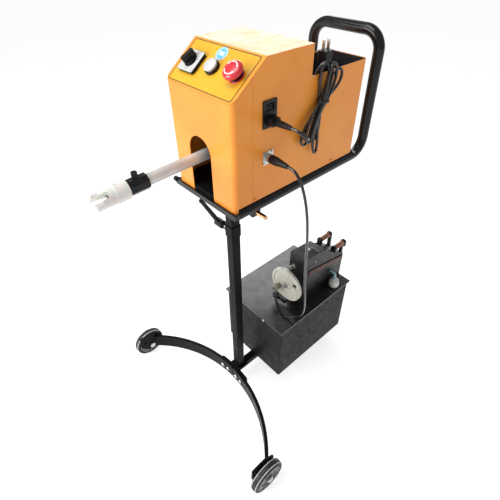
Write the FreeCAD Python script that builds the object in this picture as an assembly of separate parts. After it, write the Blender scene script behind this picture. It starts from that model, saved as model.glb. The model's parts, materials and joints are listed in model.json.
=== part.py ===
import FreeCAD, Part
import math
import os

os.makedirs("parts", exist_ok=True)

V = FreeCAD.Vector
X, Y, Z = V(1, 0, 0), V(0, 1, 0), V(0, 0, 1)

# ---- driving dimensions, mm -------------------------------------------------
TRAY_Z = 797.0          # height of the tray's top above the floor
WIDTH = 200.0           # enclosure width
DEPTH = 384.0           # enclosure depth
FRONT_H = 215.0         # height of the front face
TOP_H = 277.0           # height of the top
REAR_H = 219.0          # height of the rear portion
SLOPE_Y = 80.0          # depth at which the sloped panel reaches the top
STEP_Y = 201.0          # depth at which the top steps down
SEAM_Y = 47.0           # joint between front cover and main body
SHEET = 2.0             # enclosure sheet thickness
CORNER_R = 12.0         # radius of the upright enclosure corners
RECESS_X = -12.0        # left wall of the rear recess
RECESS_DEEP = 70.0      # depth of the recess
SLOT_X = -6.0           # centre line of the slot and the guide tube
SLOT_W = 70.0           # slot width
SLOT_H = 126.0          # slot height

RAIL_X = 94.0           # rail centre from the middle
RAIL_R = 12.5           # rail and handle tube radius
TUBE_T = 2.0            # tube wall
HANDLE_Y = 431.0        # handle upright centre
HANDLE_Z = 262.0        # handle top centre above the tray
BEND_R = 40.0           # bend radius of rail and handle

POST = 26.0             # post, square tube
POST_Y = 71.0
BEAM = 25.0             # base beam, square tube
BEAM_Z = 54.0           # underside of the base beam
ARM_R = 402.0           # mean radius of the front arms
ARM_CY = -358.0         # centre of that radius
ARM_H = 50.0            # arm bar height
ARM_T = 10.0            # arm bar thickness
ARM_Z = 35.0            # underside of the arms
ARM_GAP = 4.0           # gap between the arms at the middle
WHEEL_X = 312.0
WHEEL_Y = -100.0
WHEEL_R = 53.0
WHEEL_W = 26.0
AXLE_R = 6.0
RUN = 0.05              # radial running clearance of a shaft in its bore
GAP = 0.3               # clearance between parts that pass each other

BOX_X = 129.0           # half width of the cabinet lid
BOX_Y0, BOX_Y1 = 132.0, 465.0
BOX_TOP = 307.0         # top of the lid above the floor
LID_OVER = 5.6          # lid overhang
LID_T = 4.0

HEAD_X0, HEAD_X1 = 26.0, 85.0
HEAD_Y0, HEAD_Y1 = 266.0, 460.0
HEAD_H = 184.0          # head height above the lid

TUBE_R = 11.5           # guide tube radius
TUBE_DROP = 2.0         # downward slope of the guide tube, degrees
PIVOT_Y, PIVOT_Z = 150.0, 89.0
NOZZLE_R = 19.0


NODES = {}


def export(shape, name):
    """Keeps a node; all nodes are written at the end, about the origin on the floor."""
    if shape.ShapeType == "Compound" and len(shape.Solids) == 1:
        shape = shape.Solids[0]
    NODES[name] = shape
    return shape


def group(shapes, name):
    """One node of separate solids that are fixed together."""
    solids = []
    for sh in shapes:
        solids += sh.Solids
    return export(Part.makeCompound(solids), name)


def box(x0, x1, y0, y1, z0, z1):
    return Part.makeBox(x1 - x0, y1 - y0, z1 - z0, V(x0, y0, z0))


def cyl(p, axis, r, length):
    return Part.makeCylinder(r, length, p, axis)


def ring(p, axis, r_out, r_in, length):
    return cyl(p, axis, r_out, length).cut(cyl(p - axis * 1.0, axis, r_in, length + 2.0))


def fuse(parts):
    out = parts[0]
    for p in parts[1:]:
        out = out.fuse(p)
    return out.removeSplitter()


def prism(points, direction):
    wire = Part.makePolygon(points + [points[0]])
    return Part.Face(wire).extrude(direction)


def edges_where(shape, test):
    return [e for e in shape.Edges if len(e.Vertexes) == 2 and test(e)]


def along(e, axis):
    d = e.Vertexes[1].Point - e.Vertexes[0].Point
    return d.Length > 1e-6 and abs(abs(d.normalize().dot(axis)) - 1.0) < 1e-6


def rounded_box(x0, x1, y0, y1, z0, z1, r, axis=Z):
    b = box(x0, x1, y0, y1, z0, z1)
    return b.makeFillet(r, edges_where(b, lambda e: along(e, axis)))


def lathe(points, p, axis):
    """Solid of revolution: points are (radius, station), axis from p."""
    pts = [V(r, 0, s) for r, s in points]
    face = Part.Face(Part.makePolygon(pts + [pts[0]]))
    solid = face.revolve(V(0, 0, 0), Z, 360)
    rot = FreeCAD.Rotation(Z, axis)
    solid.Placement = FreeCAD.Placement(p, rot)
    return solid


def moved(shape, placement):
    s = shape.copy()
    s.Placement = placement.multiply(s.Placement)
    return s


def shape_at(points, radius, hints=None):
    """Tube along straight runs joined by tangent arcs; returns the solid and its path length."""
    edges, start, radii = [], points[0], []
    length = 0.0
    for i in range(1, len(points) - 1):
        a, b, c = points[i - 1], points[i], points[i + 1]
        u, w = (b - a), (c - b)
        lu, lw = u.Length, w.Length
        u.normalize()
        w.normalize()
        turn = math.acos(max(-1.0, min(1.0, u.dot(w))))
        if hints and i in hints:
            r = hints[i]
            back = r * math.tan(turn / 2)
        else:
            back = 0.45 * min(lu, lw)
            r = back / math.tan(turn / 2)
        radii.append(r)
        p, q = b - u * back, b + w * back
        n = (w - u)
        n.normalize()
        mid = b + n * (r / math.cos(turn / 2) - r)
        edges.append(Part.LineSegment(start, p).toShape())
        edges.append(Part.Arc(p, mid, q).toShape())
        length += (p - start).Length + r * turn
        start = q
    edges.append(Part.LineSegment(start, points[-1]).toShape())
    length += (points[-1] - start).Length
    path = Part.Wire(edges)
    first = points[1] - points[0]
    section = Part.Wire([Part.makeCircle(radius, points[0], first)])
    solid = path.makePipeShell([section], True, True)
    return solid, length, radii


def bent_tube(points, r_out, wall, bend):
    hints = {i: bend for i in range(1, len(points) - 1)}
    outer, _, _ = shape_at(points, r_out, hints)
    inner, _, _ = shape_at(points, r_out - wall, hints)
    return outer.cut(inner)


# ---- enclosure ---------------------------------------------------------------
SLOPE = math.atan2(TOP_H - FRONT_H, SLOPE_Y)


def envelope(o, r):
    """Closed outer form of the enclosure, inset by o, standing on the tray."""
    m = math.tan(SLOPE)
    s = math.sqrt(1 + m * m)
    half = WIDTH / 2 - o
    prof = [
        (o, 0.0 + o), (o, FRONT_H + m * o - o * s), ((TOP_H - o - FRONT_H + o * s) / m, TOP_H - o),
        (STEP_Y - o, TOP_H - o), (STEP_Y - o, REAR_H - o), (DEPTH - o, REAR_H - o), (DEPTH - o, o),
    ]
    pts = [V(-half, y, TRAY_Z + z) for y, z in prof]
    body = prism(pts, V(2 * half, 0, 0))
    corner = edges_where(body, lambda e: along(e, Z) and (
        abs(e.Vertexes[0].Y - o) < 0.1 or abs(e.Vertexes[0].Y - (DEPTH - o)) < 0.1))
    return body.makeFillet(r, corner)


LOW_LEFT = REAR_H - 70.0      # height of the left rear portion beside the recess
outer = envelope(0.0, CORNER_R)
outer = outer.cut(box(-WIDTH, RECESS_X, STEP_Y, DEPTH + 10, TRAY_Z + LOW_LEFT, TRAY_Z + TOP_H))
inner = envelope(SHEET, CORNER_R - SHEET)
inner = inner.cut(box(-WIDTH, RECESS_X + SHEET, STEP_Y - SHEET, DEPTH + 10,
                      TRAY_Z + LOW_LEFT - SHEET, TRAY_Z + TOP_H))
shell = outer.cut(inner)

# arched slot through the front face, open at the bottom
slot_r = SLOT_W / 2
SKIRT = 9.0             # how far the front cover hangs below the tray top
slot = box(SLOT_X - slot_r, SLOT_X + slot_r, -5, SHEET + 16, TRAY_Z - SKIRT - 1, TRAY_Z + SLOT_H - slot_r)
slot = slot.fuse(cyl(V(SLOT_X, -5, TRAY_Z + SLOT_H - slot_r), Y, slot_r, SHEET + 21))
# the bottom is a plate of its own
shell = shell.cut(box(-WIDTH, WIDTH, -5, DEPTH + 5, TRAY_Z - 1, TRAY_Z + SHEET + GAP))
# recess opening in the rear portion
REC_X1, REC_Y0, REC_Y1 = WIDTH / 2 - SHEET, STEP_Y + 2.0, DEPTH - SHEET
shell = shell.cut(rounded_box(RECESS_X + SHEET, REC_X1, REC_Y0, REC_Y1,
                              TRAY_Z + REAR_H - 3 * SHEET, TRAY_Z + REAR_H + 5, CORNER_R - SHEET))

PANEL = FreeCAD.Placement(V(0, 0, TRAY_Z + FRONT_H), FreeCAD.Rotation(X, math.degrees(SLOPE)))
SW = (-54.5, 47.0)      # rotary switch on the panel
PB = (2.5, 50.0)        # push button
ES = (68.0, 50.5)       # emergency stop
HOLE_R = 11.25          # panel holes for 22 mm controls
for cx, cy in (SW, PB, ES):
    shell = shell.cut(moved(cyl(V(cx, cy, -10), Z, HOLE_R, 20), PANEL))

# side inlet and round socket openings
IN_Y, IN_Z, IN_W, IN_H = 88.0, 178.0, 35.0, 52.0
SK_Y, SK_Z = 86.4, 91.0
shell = shell.cut(box(90, 110, IN_Y - 14, IN_Y + 14, TRAY_Z + IN_Z - 23, TRAY_Z + IN_Z + 23))
shell = shell.cut(cyl(V(90, SK_Y, TRAY_Z + SK_Z), X, 9.0, 20))
# rear wire inlet
WIRE_Z = PIVOT_Z
shell = shell.cut(cyl(V(SLOT_X, DEPTH - 10, TRAY_Z + WIRE_Z), Y, 10.2, 20))

front_zone = box(-WIDTH, WIDTH, -5, SEAM_Y - GAP / 2, TRAY_Z - 1, TRAY_Z + TOP_H)
under_panel = prism([V(-WIDTH, -10, TRAY_Z), V(-WIDTH, -10, TRAY_Z + FRONT_H - 2.5),
                     V(-WIDTH, 0, TRAY_Z + FRONT_H - 2.5),
                     V(-WIDTH, 100, TRAY_Z + FRONT_H - 2.5 + 100 * math.tan(SLOPE)),
                     V(-WIDTH, 100, TRAY_Z)], V(2 * WIDTH, 0, 0))
front = shell.common(front_zone).common(under_panel)
# the cover's foot hangs a little below the tray's top
skirt = rounded_box(-WIDTH / 2, WIDTH / 2, 0, 60, TRAY_Z - SKIRT, TRAY_Z + SHEET + GAP, CORNER_R).cut(
    rounded_box(-WIDTH / 2 + SHEET, WIDTH / 2 - SHEET, SHEET, 70, TRAY_Z - 20, TRAY_Z + 10,
                CORNER_R - SHEET))
skirt = skirt.common(box(-WIDTH, WIDTH, -1, 8, TRAY_Z - 20, TRAY_Z + 10))
front = front.fuse(skirt).cut(slot).removeSplitter()
front_cover = export(front, "front_cover")

seam_cut = box(-WIDTH, WIDTH, -5, SEAM_Y + GAP / 2, TRAY_Z - 1, TRAY_Z + TOP_H)
under_gap = under_panel.copy()
under_gap.translate(V(0, 0, GAP))
main_body = export(shell.cut(seam_cut.common(under_gap)), "main_body")

floor_in = 0.5
floor_plate = rounded_box(-WIDTH / 2 + floor_in, WIDTH / 2 - floor_in, floor_in, DEPTH - floor_in,
                          TRAY_Z, TRAY_Z + SHEET, CORNER_R - 1)
clear_in = SHEET + 0.4
floor_plate = floor_plate.common(fuse([
    rounded_box(-WIDTH / 2 + clear_in, WIDTH / 2 - clear_in, clear_in, 70, TRAY_Z - 5, TRAY_Z + 5,
                CORNER_R - clear_in), box(-WIDTH, WIDTH, 8.6, DEPTH, TRAY_Z - 5, TRAY_Z + 5)]))
floor_plate = floor_plate.fuse(box(SLOT_X - slot_r - 5, SLOT_X + slot_r + 5, SHEET + 0.4, SHEET + 2.4,
                                   TRAY_Z - 18.0, TRAY_Z + 0.5)).removeSplitter()
export(floor_plate, "floor_plate")

lin = GAP
liner = rounded_box(RECESS_X + SHEET + lin, REC_X1 - lin, REC_Y0 + lin, REC_Y1 - lin,
                    TRAY_Z + REAR_H - RECESS_DEEP, TRAY_Z + REAR_H - 0.5, CORNER_R - SHEET - lin)
liner = liner.cut(rounded_box(RECESS_X + SHEET + lin + 1.5, REC_X1 - lin - 1.5, REC_Y0 + lin + 1.5,
                              REC_Y1 - lin - 1.5, TRAY_Z + REAR_H - RECESS_DEEP + 1.5, TRAY_Z + REAR_H + 1,
                              CORNER_R - SHEET - lin - 1.5))
export(liner, "recess_liner")

# panel label
LABEL_T = 0.4
label = rounded_box(-92.5, 92.5, 2.5, 97.5, 0.0, LABEL_T, 5.0)
for cx, cy in (SW, PB, ES):
    label = label.cut(cyl(V(cx, cy, -1), Z, HOLE_R, 3))
export(moved(label, PANEL), "panel_label")

# ---- panel controls ----------------------------------------------------------
SW_BASE_T, SW_PLATE_T = 5.5, 1.5
sb = rounded_box(SW[0] - 21.5, SW[0] + 21.5, SW[1] - 21.5, SW[1] + 21.5, LABEL_T, LABEL_T + SW_BASE_T, 2.0)
sb = sb.cut(cyl(V(SW[0], SW[1], -5), Z, 5.0, 30))
sb = sb.fuse(ring(V(SW[0], SW[1], -24), Z, 11.0, 5.0, 24 + LABEL_T + 0.5)).fuse(
    box(SW[0] - 20, SW[0] + 20, SW[1] - 20, SW[1] + 20, -44, -23.9)).removeSplitter()
sp = rounded_box(SW[0] - 23.0, SW[0] + 23.0, SW[1] - 23.0, SW[1] + 23.0, LABEL_T + SW_BASE_T,
                 LABEL_T + SW_BASE_T + SW_PLATE_T, 3.0).cut(cyl(V(SW[0], SW[1], -5), Z, 13.4, 30))
group([moved(sb, PANEL), moved(sp, PANEL)], "switch_base")
kz = LABEL_T + SW_BASE_T + GAP
knob = cyl(V(SW[0], SW[1], kz), Z, 13.0, 3.5)
knob = knob.fuse(cyl(V(SW[0], SW[1], kz + 3.5), Z, 11.0, 2.5))
FIN_TOP = kz + 18.0
fin = rounded_box(SW[0] - 4.5, SW[0] + 4.5, SW[1] - 12.5, SW[1] + 15.5, kz + 4.0, FIN_TOP, 3.0)
fin = fin.makeFillet(1.5, edges_where(fin, lambda e: abs(e.Vertexes[0].Z - FIN_TOP) < 0.1
                                      and abs(e.Vertexes[1].Z - FIN_TOP) < 0.1))
knob = fuse([knob, fin])
SPIN = FreeCAD.Placement(V(SW[0], SW[1], 0), FreeCAD.Rotation(Z, -20)).multiply(
    FreeCAD.Placement(V(-SW[0], -SW[1], 0), FreeCAD.Rotation()))
knob = fuse([knob, cyl(V(SW[0], SW[1], -20), Z, 5.0 - RUN, 20.5 + kz)])
export(moved(knob, PANEL.multiply(SPIN)), "switch_knob")

PB_H = 6.0
bez = lathe([(12.8, LABEL_T), (15.0, LABEL_T), (15.0, PB_H - 1), (14.0, PB_H), (12.8, PB_H)],
            V(PB[0], PB[1], 0), Z)
bez = bez.fuse(ring(V(PB[0], PB[1], -30), Z, 10.9, 8.0, 30 + LABEL_T)).fuse(
    ring(V(PB[0], PB[1], LABEL_T), Z, 13.5, 8.0, 1.2)).removeSplitter()
cap = lathe([(0, 5.0), (12.5, 5.0), (12.5, PB_H + 3.3), (13.9, PB_H + 3.3), (13.9, PB_H + 4.2),
             (12.4, PB_H + 5.2), (0, PB_H + 6.2)],
            V(PB[0], PB[1], 0), Z)
cap = cap.fuse(cyl(V(PB[0], PB[1], -18), Z, 7.9, 23.5)).removeSplitter()
export(moved(cap, PANEL), "button_cap")

eb = lathe([(9.0, LABEL_T), (13.5, LABEL_T), (13.5, 2.4), (12.5, 3.4), (9.0, 3.4)],
           V(ES[0], ES[1], 0), Z)
eb = eb.fuse(ring(V(ES[0], ES[1], -34), Z, 10.9, 9.0, 34 + LABEL_T)).removeSplitter()
group([moved(bez, PANEL), moved(eb, PANEL)], "panel_collars")
stem = cyl(V(ES[0], ES[1], -20), Z, 8.95, 32.0)
export(moved(stem, PANEL), "estop_stem")
head = lathe([(9.0, 7.8), (14.0, 7.8), (15.5, 10.0), (18.3, 11.0), (19.0, 13.0), (19.0, 16.5),
              (17.3, 19.8), (12.0, 21.7), (0, 22.5), (0, 12.05), (9.0, 12.05)], V(ES[0], ES[1], 0), Z)
export(moved(head, PANEL), "estop_head")

# ---- side inlet and control socket --------------------------------------------
SIDE = WIDTH / 2
FL_T = 2.5
iz = TRAY_Z + IN_Z
inlet = rounded_box(SIDE, SIDE + FL_T, IN_Y - IN_W / 2, IN_Y + IN_W / 2, iz - IN_H / 2, iz + IN_H / 2,
                    2.0, X)
inlet = inlet.fuse(box(SIDE - 28, SIDE, IN_Y - 13.7, IN_Y + 13.7, iz - 22.7, iz + 22.7))
PLUG_Z = iz - 11.0
inlet = inlet.cut(rounded_box(SIDE - 20, SIDE + 5, IN_Y - 12.2, IN_Y + 12.2,
                              PLUG_Z - 8.2, PLUG_Z + 8.2, 2.0, X))
RK_Z = iz + 13.0
inlet = inlet.cut(box(SIDE - 16, SIDE + 5, IN_Y - 10.5, IN_Y + 10.5, RK_Z - 7, RK_Z + 7))
pin_len = 16.0
for dy, dz in ((-7.0, 0.0), (7.0, 0.0), (0.0, 4.0)):
    inlet = inlet.fuse(box(SIDE - 21, SIDE - 21 + pin_len, IN_Y + dy - 1.2, IN_Y + dy + 1.2,
                           PLUG_Z + dz - 2.0, PLUG_Z + dz + 2.0))
export(inlet.removeSplitter(), "inlet_socket")
rocker = prism([V(SIDE - 6, IN_Y - 10.1, RK_Z - 6.2), V(SIDE + 1.0, IN_Y - 10.1, RK_Z - 6.2),
                V(SIDE - 0.6, IN_Y - 10.1, RK_Z), V(SIDE + 3.4, IN_Y - 10.1, RK_Z + 6.2),
                V(SIDE - 6, IN_Y - 10.1, RK_Z + 6.2)], V(0, 20.2, 0))
rocker = rocker.common(cyl(V(SIDE - 3, IN_Y - 11, RK_Z), Y, 6.8, 22))
rocker = rocker.fuse(cyl(V(SIDE - 3, IN_Y - 10.4, RK_Z), Y, 1.5, 20.8)).removeSplitter()
export(rocker, "rocker")

sz = TRAY_Z + SK_Z
SF = 13.5
flange = rounded_box(SIDE, SIDE + 1.6, SK_Y - SF, SK_Y + SF, sz - SF, sz + SF, 2.0, X)
flange = flange.fuse(cyl(V(SIDE - 14, SK_Y, sz), X, 8.9, 24.0)).cut(cyl(V(SIDE - 8, SK_Y, sz), X, 7.0, 20))
SCREW_O = 10.3
for sy in (-1, 1):
    for s2 in (-1, 1):
        flange = flange.cut(cyl(V(SIDE - 1, SK_Y + sy * SCREW_O, sz + s2 * SCREW_O), X, 1.3, 4))
export(flange.removeSplitter(), "control_socket")
scr = []
for sy in (-1, 1):
    for s2 in (-1, 1):
        p = V(SIDE + 1.6, SK_Y + sy * SCREW_O, sz + s2 * SCREW_O)
        scr.append(cyl(p, X, 2.4, 1.4).fuse(cyl(p - X * 1.5, X, 1.25, 2.0)).removeSplitter())

# ---- tray --------------------------------------------------------------------
RZ = TRAY_Z - RAIL_R
TRAY_Y0 = 12.0
pts = [V(RAIL_X, TRAY_Y0, RZ), V(RAIL_X, HANDLE_Y, RZ), V(RAIL_X, HANDLE_Y, TRAY_Z + HANDLE_Z),
       V(-RAIL_X, HANDLE_Y, TRAY_Z + HANDLE_Z), V(-RAIL_X, HANDLE_Y, RZ), V(-RAIL_X, TRAY_Y0, RZ)]
export(bent_tube(pts, RAIL_R, TUBE_T, BEND_R), "tray_tube")
BAR_Y0 = -6.3           # front bar, just before the cover
caps = []
for sx in (-1, 1):
    c = lathe([(0, 0), (RAIL_R - TUBE_T - 0.05, 0), (RAIL_R - TUBE_T - 0.05, 12), (RAIL_R, 12),
               (RAIL_R, 13.5), (RAIL_R - 1.0, 15), (0, 15)], V(sx * RAIL_X, TRAY_Y0 + 12, RZ), Y * -1)
    side_in, side_out = WIDTH / 2 + 0.4, WIDTH / 2 + 4.4
    arm = box(min(sx * side_in, sx * side_out), max(sx * side_in, sx * side_out), BAR_Y0, TRAY_Y0 - 1.0,
              TRAY_Z - 19, TRAY_Z - 7)
    caps.append(c.fuse(arm))
front_bar = box(-WIDTH / 2 - 4.4, WIDTH / 2 + 4.4, BAR_Y0, BAR_Y0 + 5.5, TRAY_Z - 19, TRAY_Z - 7)
front_bar = front_bar.fuse(cyl(V(-WIDTH / 2 - 12, BAR_Y0 + 3.5, TRAY_Z - 10), X, 6.5, 10))
bars = [box(-RAIL_X, RAIL_X, 180, 210, TRAY_Z - 22, TRAY_Z - 2),
        box(-RAIL_X, RAIL_X, 345, 375, TRAY_Z - 22, TRAY_Z - 2)]
rail_in = fuse([cyl(V(sx * RAIL_X, TRAY_Y0 - 1, RZ), Y, RAIL_R, HANDLE_Y) for sx in (-1, 1)])
cross = []
for b in bars:
    piece = b.cut(rail_in)
    piece = piece.common(box(-RAIL_X + 8, RAIL_X - 8, -50, 400, 0, TRAY_Z))
    cross.append(piece)

SH_Y, SH_Z = POST_Y, TRAY_Z - 41.0      # cross shaft
SH_R = 5.0
hang = []
for sx in (-1, 1):
    h = rounded_box(sx * 80 - 3, sx * 80 + 3, SH_Y - 14, SH_Y + 14, SH_Z - 12, TRAY_Z - 22.0, 8.0, X)
    h = h.fuse(box(sx * 80 - 3, sx * 80 + 3, SH_Y - 14, SH_Y + 14, TRAY_Z - 34.0, TRAY_Z - 1.0))
    h = h.cut(cyl(V(-200, SH_Y, SH_Z), X, SH_R, 400))
    hang.append(h.cut(rail_in).removeSplitter())
head_plate = box(-77, 77, SH_Y - 14, SH_Y + 14, TRAY_Z - 7.0, TRAY_Z - 1.0)
hanger = fuse(hang + [head_plate])
group([fuse(caps + [front_bar])] + cross + [hanger], "tray_bars")
shaft = cyl(V(-112, SH_Y, SH_Z), X, SH_R, 227)
export(shaft, "cross_shaft")

# ---- post, clamp collar and lever ---------------------------------------------
HALF = POST / 2
POST_TOP = SH_Z + 14.0
POST_BOT = BEAM_Z + BEAM + 4.0
post = rounded_box(-HALF, HALF, POST_Y - HALF, POST_Y + HALF, POST_BOT, POST_TOP, 3.0)
post = post.cut(rounded_box(-HALF + 2, HALF - 2, POST_Y - HALF + 2, POST_Y + HALF - 2,
                            POST_BOT - 1, POST_TOP + 1, 1.2))
post = post.cut(cyl(V(-50, SH_Y, SH_Z), X, SH_R, 100))
fp = rounded_box(-22, 22, POST_Y - 22, POST_Y + 22, BEAM_Z + BEAM, POST_BOT, 4.0)
export(fuse([post, fp]), "post")

CL_Z, CL_Y = TRAY_Z - 138.0, 66.0        # clamp stud, square to the post's left face
clamp = rounded_box(-HALF - 2, HALF + 2, POST_Y - HALF - 2, POST_Y + HALF + 2, CL_Z - 16, CL_Z + 16, 4.0)
clamp = clamp.fuse(cyl(V(-HALF - 5, CL_Y, CL_Z), X, 8.0, 6.0))
clamp = clamp.cut(box(-HALF, HALF, POST_Y - HALF, POST_Y + HALF, CL_Z - 40, CL_Z + 40))
clamp = clamp.cut(cyl(V(-50, CL_Y, CL_Z), X, 4.0, 50)).removeSplitter()
export(clamp, "clamp_collar")
stud = cyl(V(-61, CL_Y, CL_Z), X, 4.0, 61 - HALF)
LV_R = 4.0 + RUN
lever = lathe([(LV_R, 0), (10.0, 0), (11.0, 2.0), (11.0, 24), (9.0, 28), (LV_R, 28)],
              V(-57, CL_Y, CL_Z), X)
tip = V(-55, CL_Y - 43.0, CL_Z + 80.0)
a = V(-50, CL_Y, CL_Z)
d = tip - a
arm = Part.makeCone(6.5, 5.0, d.Length, a, d).fuse(Part.makeSphere(6.0, tip))
arm = arm.cut(cyl(V(-60, CL_Y, CL_Z), X, 10.0, 50))
lever = fuse([lever, arm])
export(lever, "clamp_lever")

# ---- base --------------------------------------------------------------------
ARM_TOP = ARM_Z + ARM_H
BEAM_Y0, BEAM_Y1 = ARM_CY + ARM_R + ARM_T / 2 + 8.0, 445.0
beam = rounded_box(-BEAM / 2, BEAM / 2, BEAM_Y0, BEAM_Y1, BEAM_Z, BEAM_Z + BEAM, 2.5, Y)
beam = beam.cut(rounded_box(-BEAM / 2 + 2, BEAM / 2 - 2, BEAM_Y0 - 1, BEAM_Y1 + 1,
                            BEAM_Z + 2, BEAM_Z + BEAM - 2, 1.0, Y))

END_X = WHEEL_X - WHEEL_W / 2 - 3.0        # outer face of the axle brackets
BR_T = 5.0


def sector(r0, r1, a0, a1, z0, z1):
    """Upright bar rolled about the vertical line at (0, ARM_CY); angles from +Y, in radians."""
    def pt(r, a):
        return V(r * math.sin(a), ARM_CY + r * math.cos(a), z0)
    am = (a0 + a1) / 2
    w = Part.Wire([
        Part.Arc(pt(r0, a0), pt(r0, am), pt(r0, a1)).toShape(),
        Part.LineSegment(pt(r0, a1), pt(r1, a1)).toShape(),
        Part.Arc(pt(r1, a1), pt(r1, am), pt(r1, a0)).toShape(),
        Part.LineSegment(pt(r1, a0), pt(r0, a0)).toShape()])
    return Part.Face(w).extrude(V(0, 0, z1 - z0))


R0, R1 = ARM_R - ARM_T / 2, ARM_R + ARM_T / 2
A_END = math.asin((END_X - BR_T) / ARM_R)
A_MID = ARM_GAP / 2 / ARM_R
BOLT_A = [0.052, 0.115]                    # splice bolt stations along the arm, radians
arms = []
for side in (-1, 1):
    bar = sector(R0, R1, A_MID, A_END + 0.03, ARM_Z, ARM_TOP)
    bar = bar.cut(box(END_X - BR_T, END_X + 60, -400, 400, 0, 200))
    plate = prism([V(END_X - BR_T, y, z) for y, z in (
        (-58, ARM_Z), (-58, ARM_TOP), (-90, 112), (-138, 110), (-140, 62), (-112, 34))], V(BR_T, 0, 0))
    plate = plate.makeFillet(7.0, edges_where(plate, lambda e: along(e, X) and e.Vertexes[0].Y < -80))
    plate = plate.cut(cyl(V(END_X - 20, WHEEL_Y, WHEEL_R), X, AXLE_R, 40))
    plate = plate.cut(rounded_box(END_X - 20, END_X + 20, -131, -119, 76, 83, 3.0, X))
    bar = fuse([bar, plate])
    for a in BOLT_A:
        q = V(math.sin(a), math.cos(a), 0)
        bar = bar.cut(cyl(V(0, ARM_CY, ARM_Z + ARM_H / 2) + q * (R0 - 5), q, 4.2, ARM_T + 10))
    if side < 0:
        bar = bar.mirror(V(0, 0, 0), X)
    arms.append(bar)
group(arms, "front_arms")
SP_A = 0.15
splice = sector(R1, R1 + 8.0, -SP_A, SP_A, ARM_Z + 4, BEAM_Z + BEAM)
bolts = []
for side in (-1, 1):
    for a in BOLT_A:
        q = V(math.sin(side * a), math.cos(side * a), 0)
        c0 = V(0, ARM_CY, ARM_Z + ARM_H / 2)
        splice = splice.cut(cyl(c0 + q * (R1 - 5), q, 4.2, 20))
        b = cyl(c0 + q * (R0 - 4.5), q, 4.15, ARM_T + 12.4).fuse(lathe(
            [(0, 0), (5.0, 0), (7.0, 2.0), (7.0, 4.4), (0, 4.4)], c0 + q * (R0 - 4.5), q))
        if a > 0.1:
            t = V(math.cos(side * a), -math.sin(side * a), 0)
            nut = [c0 + q * (R1 + 8.0) + Z * (7.5 * math.sin(k * math.pi / 3 + 0.5))
                   + t * (7.5 * math.cos(k * math.pi / 3 + 0.5)) for k in range(6)]
            b = b.fuse(prism(nut, q * 5.0))
        else:
            b = b.fuse(cyl(c0 + q * (R1 + 6.0), q, 4.15, 2.0))
        bolts.append(b.removeSplitter())
flat = splice.cut(box(-BEAM / 2, BEAM / 2, BEAM_Y0, 200, 0, 200))
axles = []

for side, tag in ((-1, "left"), (1, "right")):
    c = V(side * WHEEL_X, WHEEL_Y, WHEEL_R)
    a0 = c - X * (WHEEL_W / 2)
    w2 = WHEEL_W
    rim = 38.0
    tyre = lathe([(rim, 1.0), (WHEEL_R - 7, 0.0), (WHEEL_R - 2.2, 2.5), (WHEEL_R, 7.5), (WHEEL_R,
                                                            w2 - 7.5),
                  (WHEEL_R - 2.2, w2 - 2.5), (WHEEL_R - 7, w2), (rim, w2 - 1.0)], a0, X)
    export(tyre, "tyre_" + tag)
    hub = lathe([(AXLE_R + RUN, 0.0), (12.0, 0.0), (14.0, 4.0), (27.0, 6.5), (30.0, 2.0), (rim, 2.0),
                 (rim, w2 - 2.0), (30.0, w2 - 2.0), (27.0, w2 - 6.5), (14.0, w2 - 4.0), (12.0, w2),
                 (AXLE_R + RUN, w2)], a0, X)
    export(hub, "hub_" + tag)
    d = X * side
    inner_x = V(side * (END_X - BR_T), WHEEL_Y, WHEEL_R)
    outer_x = side * (WHEEL_X + WHEEL_W / 2 + 0.5)
    axle = cyl(inner_x - d * 7.0, d, AXLE_R, abs(outer_x) - (END_X - BR_T) + 7.0)
    axle = axle.fuse(lathe([(0, 0), (9.5, 0), (9.5, 2.0), (6.5, 5.0), (0, 5.0)], V(outer_x, WHEEL_Y,
                                                            WHEEL_R), d))
    axle = axle.fuse(cyl(inner_x - d * 6.0, d, 9.5, 6.0)).fuse(
        cyl(V(side * END_X, WHEEL_Y, WHEEL_R), d, 9.0, 2.5)).removeSplitter()
    axles.append(axle)

bar_y0, bar_y1 = BEAM_Y1, BEAM_Y1 - 25.0
rear = fuse([box(-82, -BEAM / 2, bar_y1, bar_y0, BEAM_Z, BEAM_Z + BEAM - 4),
             ]).fuse(box(BEAM / 2, 82, bar_y1, bar_y0, BEAM_Z, BEAM_Z + BEAM - 4))
group([flat, beam, rear], "base_beam")
group(bolts + axles + [stud], "stand_bolts")
feet = []
for sx in (-1, 1):
    feet.append(lathe([(0, 0), (17, 0), (19, 3), (17, 18), (11, 22), (11, BEAM_Z), (0, BEAM_Z)],
                      V(sx * 64, bar_y0 - 12.5, 0), Z))
export(Part.makeCompound(feet), "rear_feet")

# ---- lower cabinet -------------------------------------------------------------
BOX_BOT = BEAM_Z + BEAM
cx0, cx1 = -BOX_X + LID_OVER, BOX_X - LID_OVER
cy0, cy1 = BOX_Y0 + LID_OVER, BOX_Y1 - LID_OVER
CAB_TOP = BOX_TOP - LID_T
cab = rounded_box(cx0, cx1, cy0, cy1, BOX_BOT, CAB_TOP, 2.5)
cab = cab.cut(rounded_box(cx0 + 2, cx1 - 2, cy0 + 2, cy1 - 2, BOX_BOT + 2, CAB_TOP + 5, 1.0))
lid = rounded_box(-BOX_X, BOX_X, BOX_Y0, BOX_Y1, CAB_TOP, BOX_TOP, 2.0)
export(lid, "cabinet_lid")
ls = [lathe([(0, 0), (4.0, 0), (4.0, 1.2), (2.6, 2.6), (0, 2.8)], V(x, y, CAB_TOP + 2), Y * d).common(
    box(-300, 300, 0, 600, CAB_TOP - 1.5, BOX_TOP))
      for x, y, d in ((52.0, BOX_Y0, -1), (-52.0, BOX_Y0, -1), (52.0, BOX_Y1, 1), (-52.0, BOX_Y1, 1))]
SPW = 90.0
spx, spy, spz = -10.0, 300.0, BOX_BOT + 112.0
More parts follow.
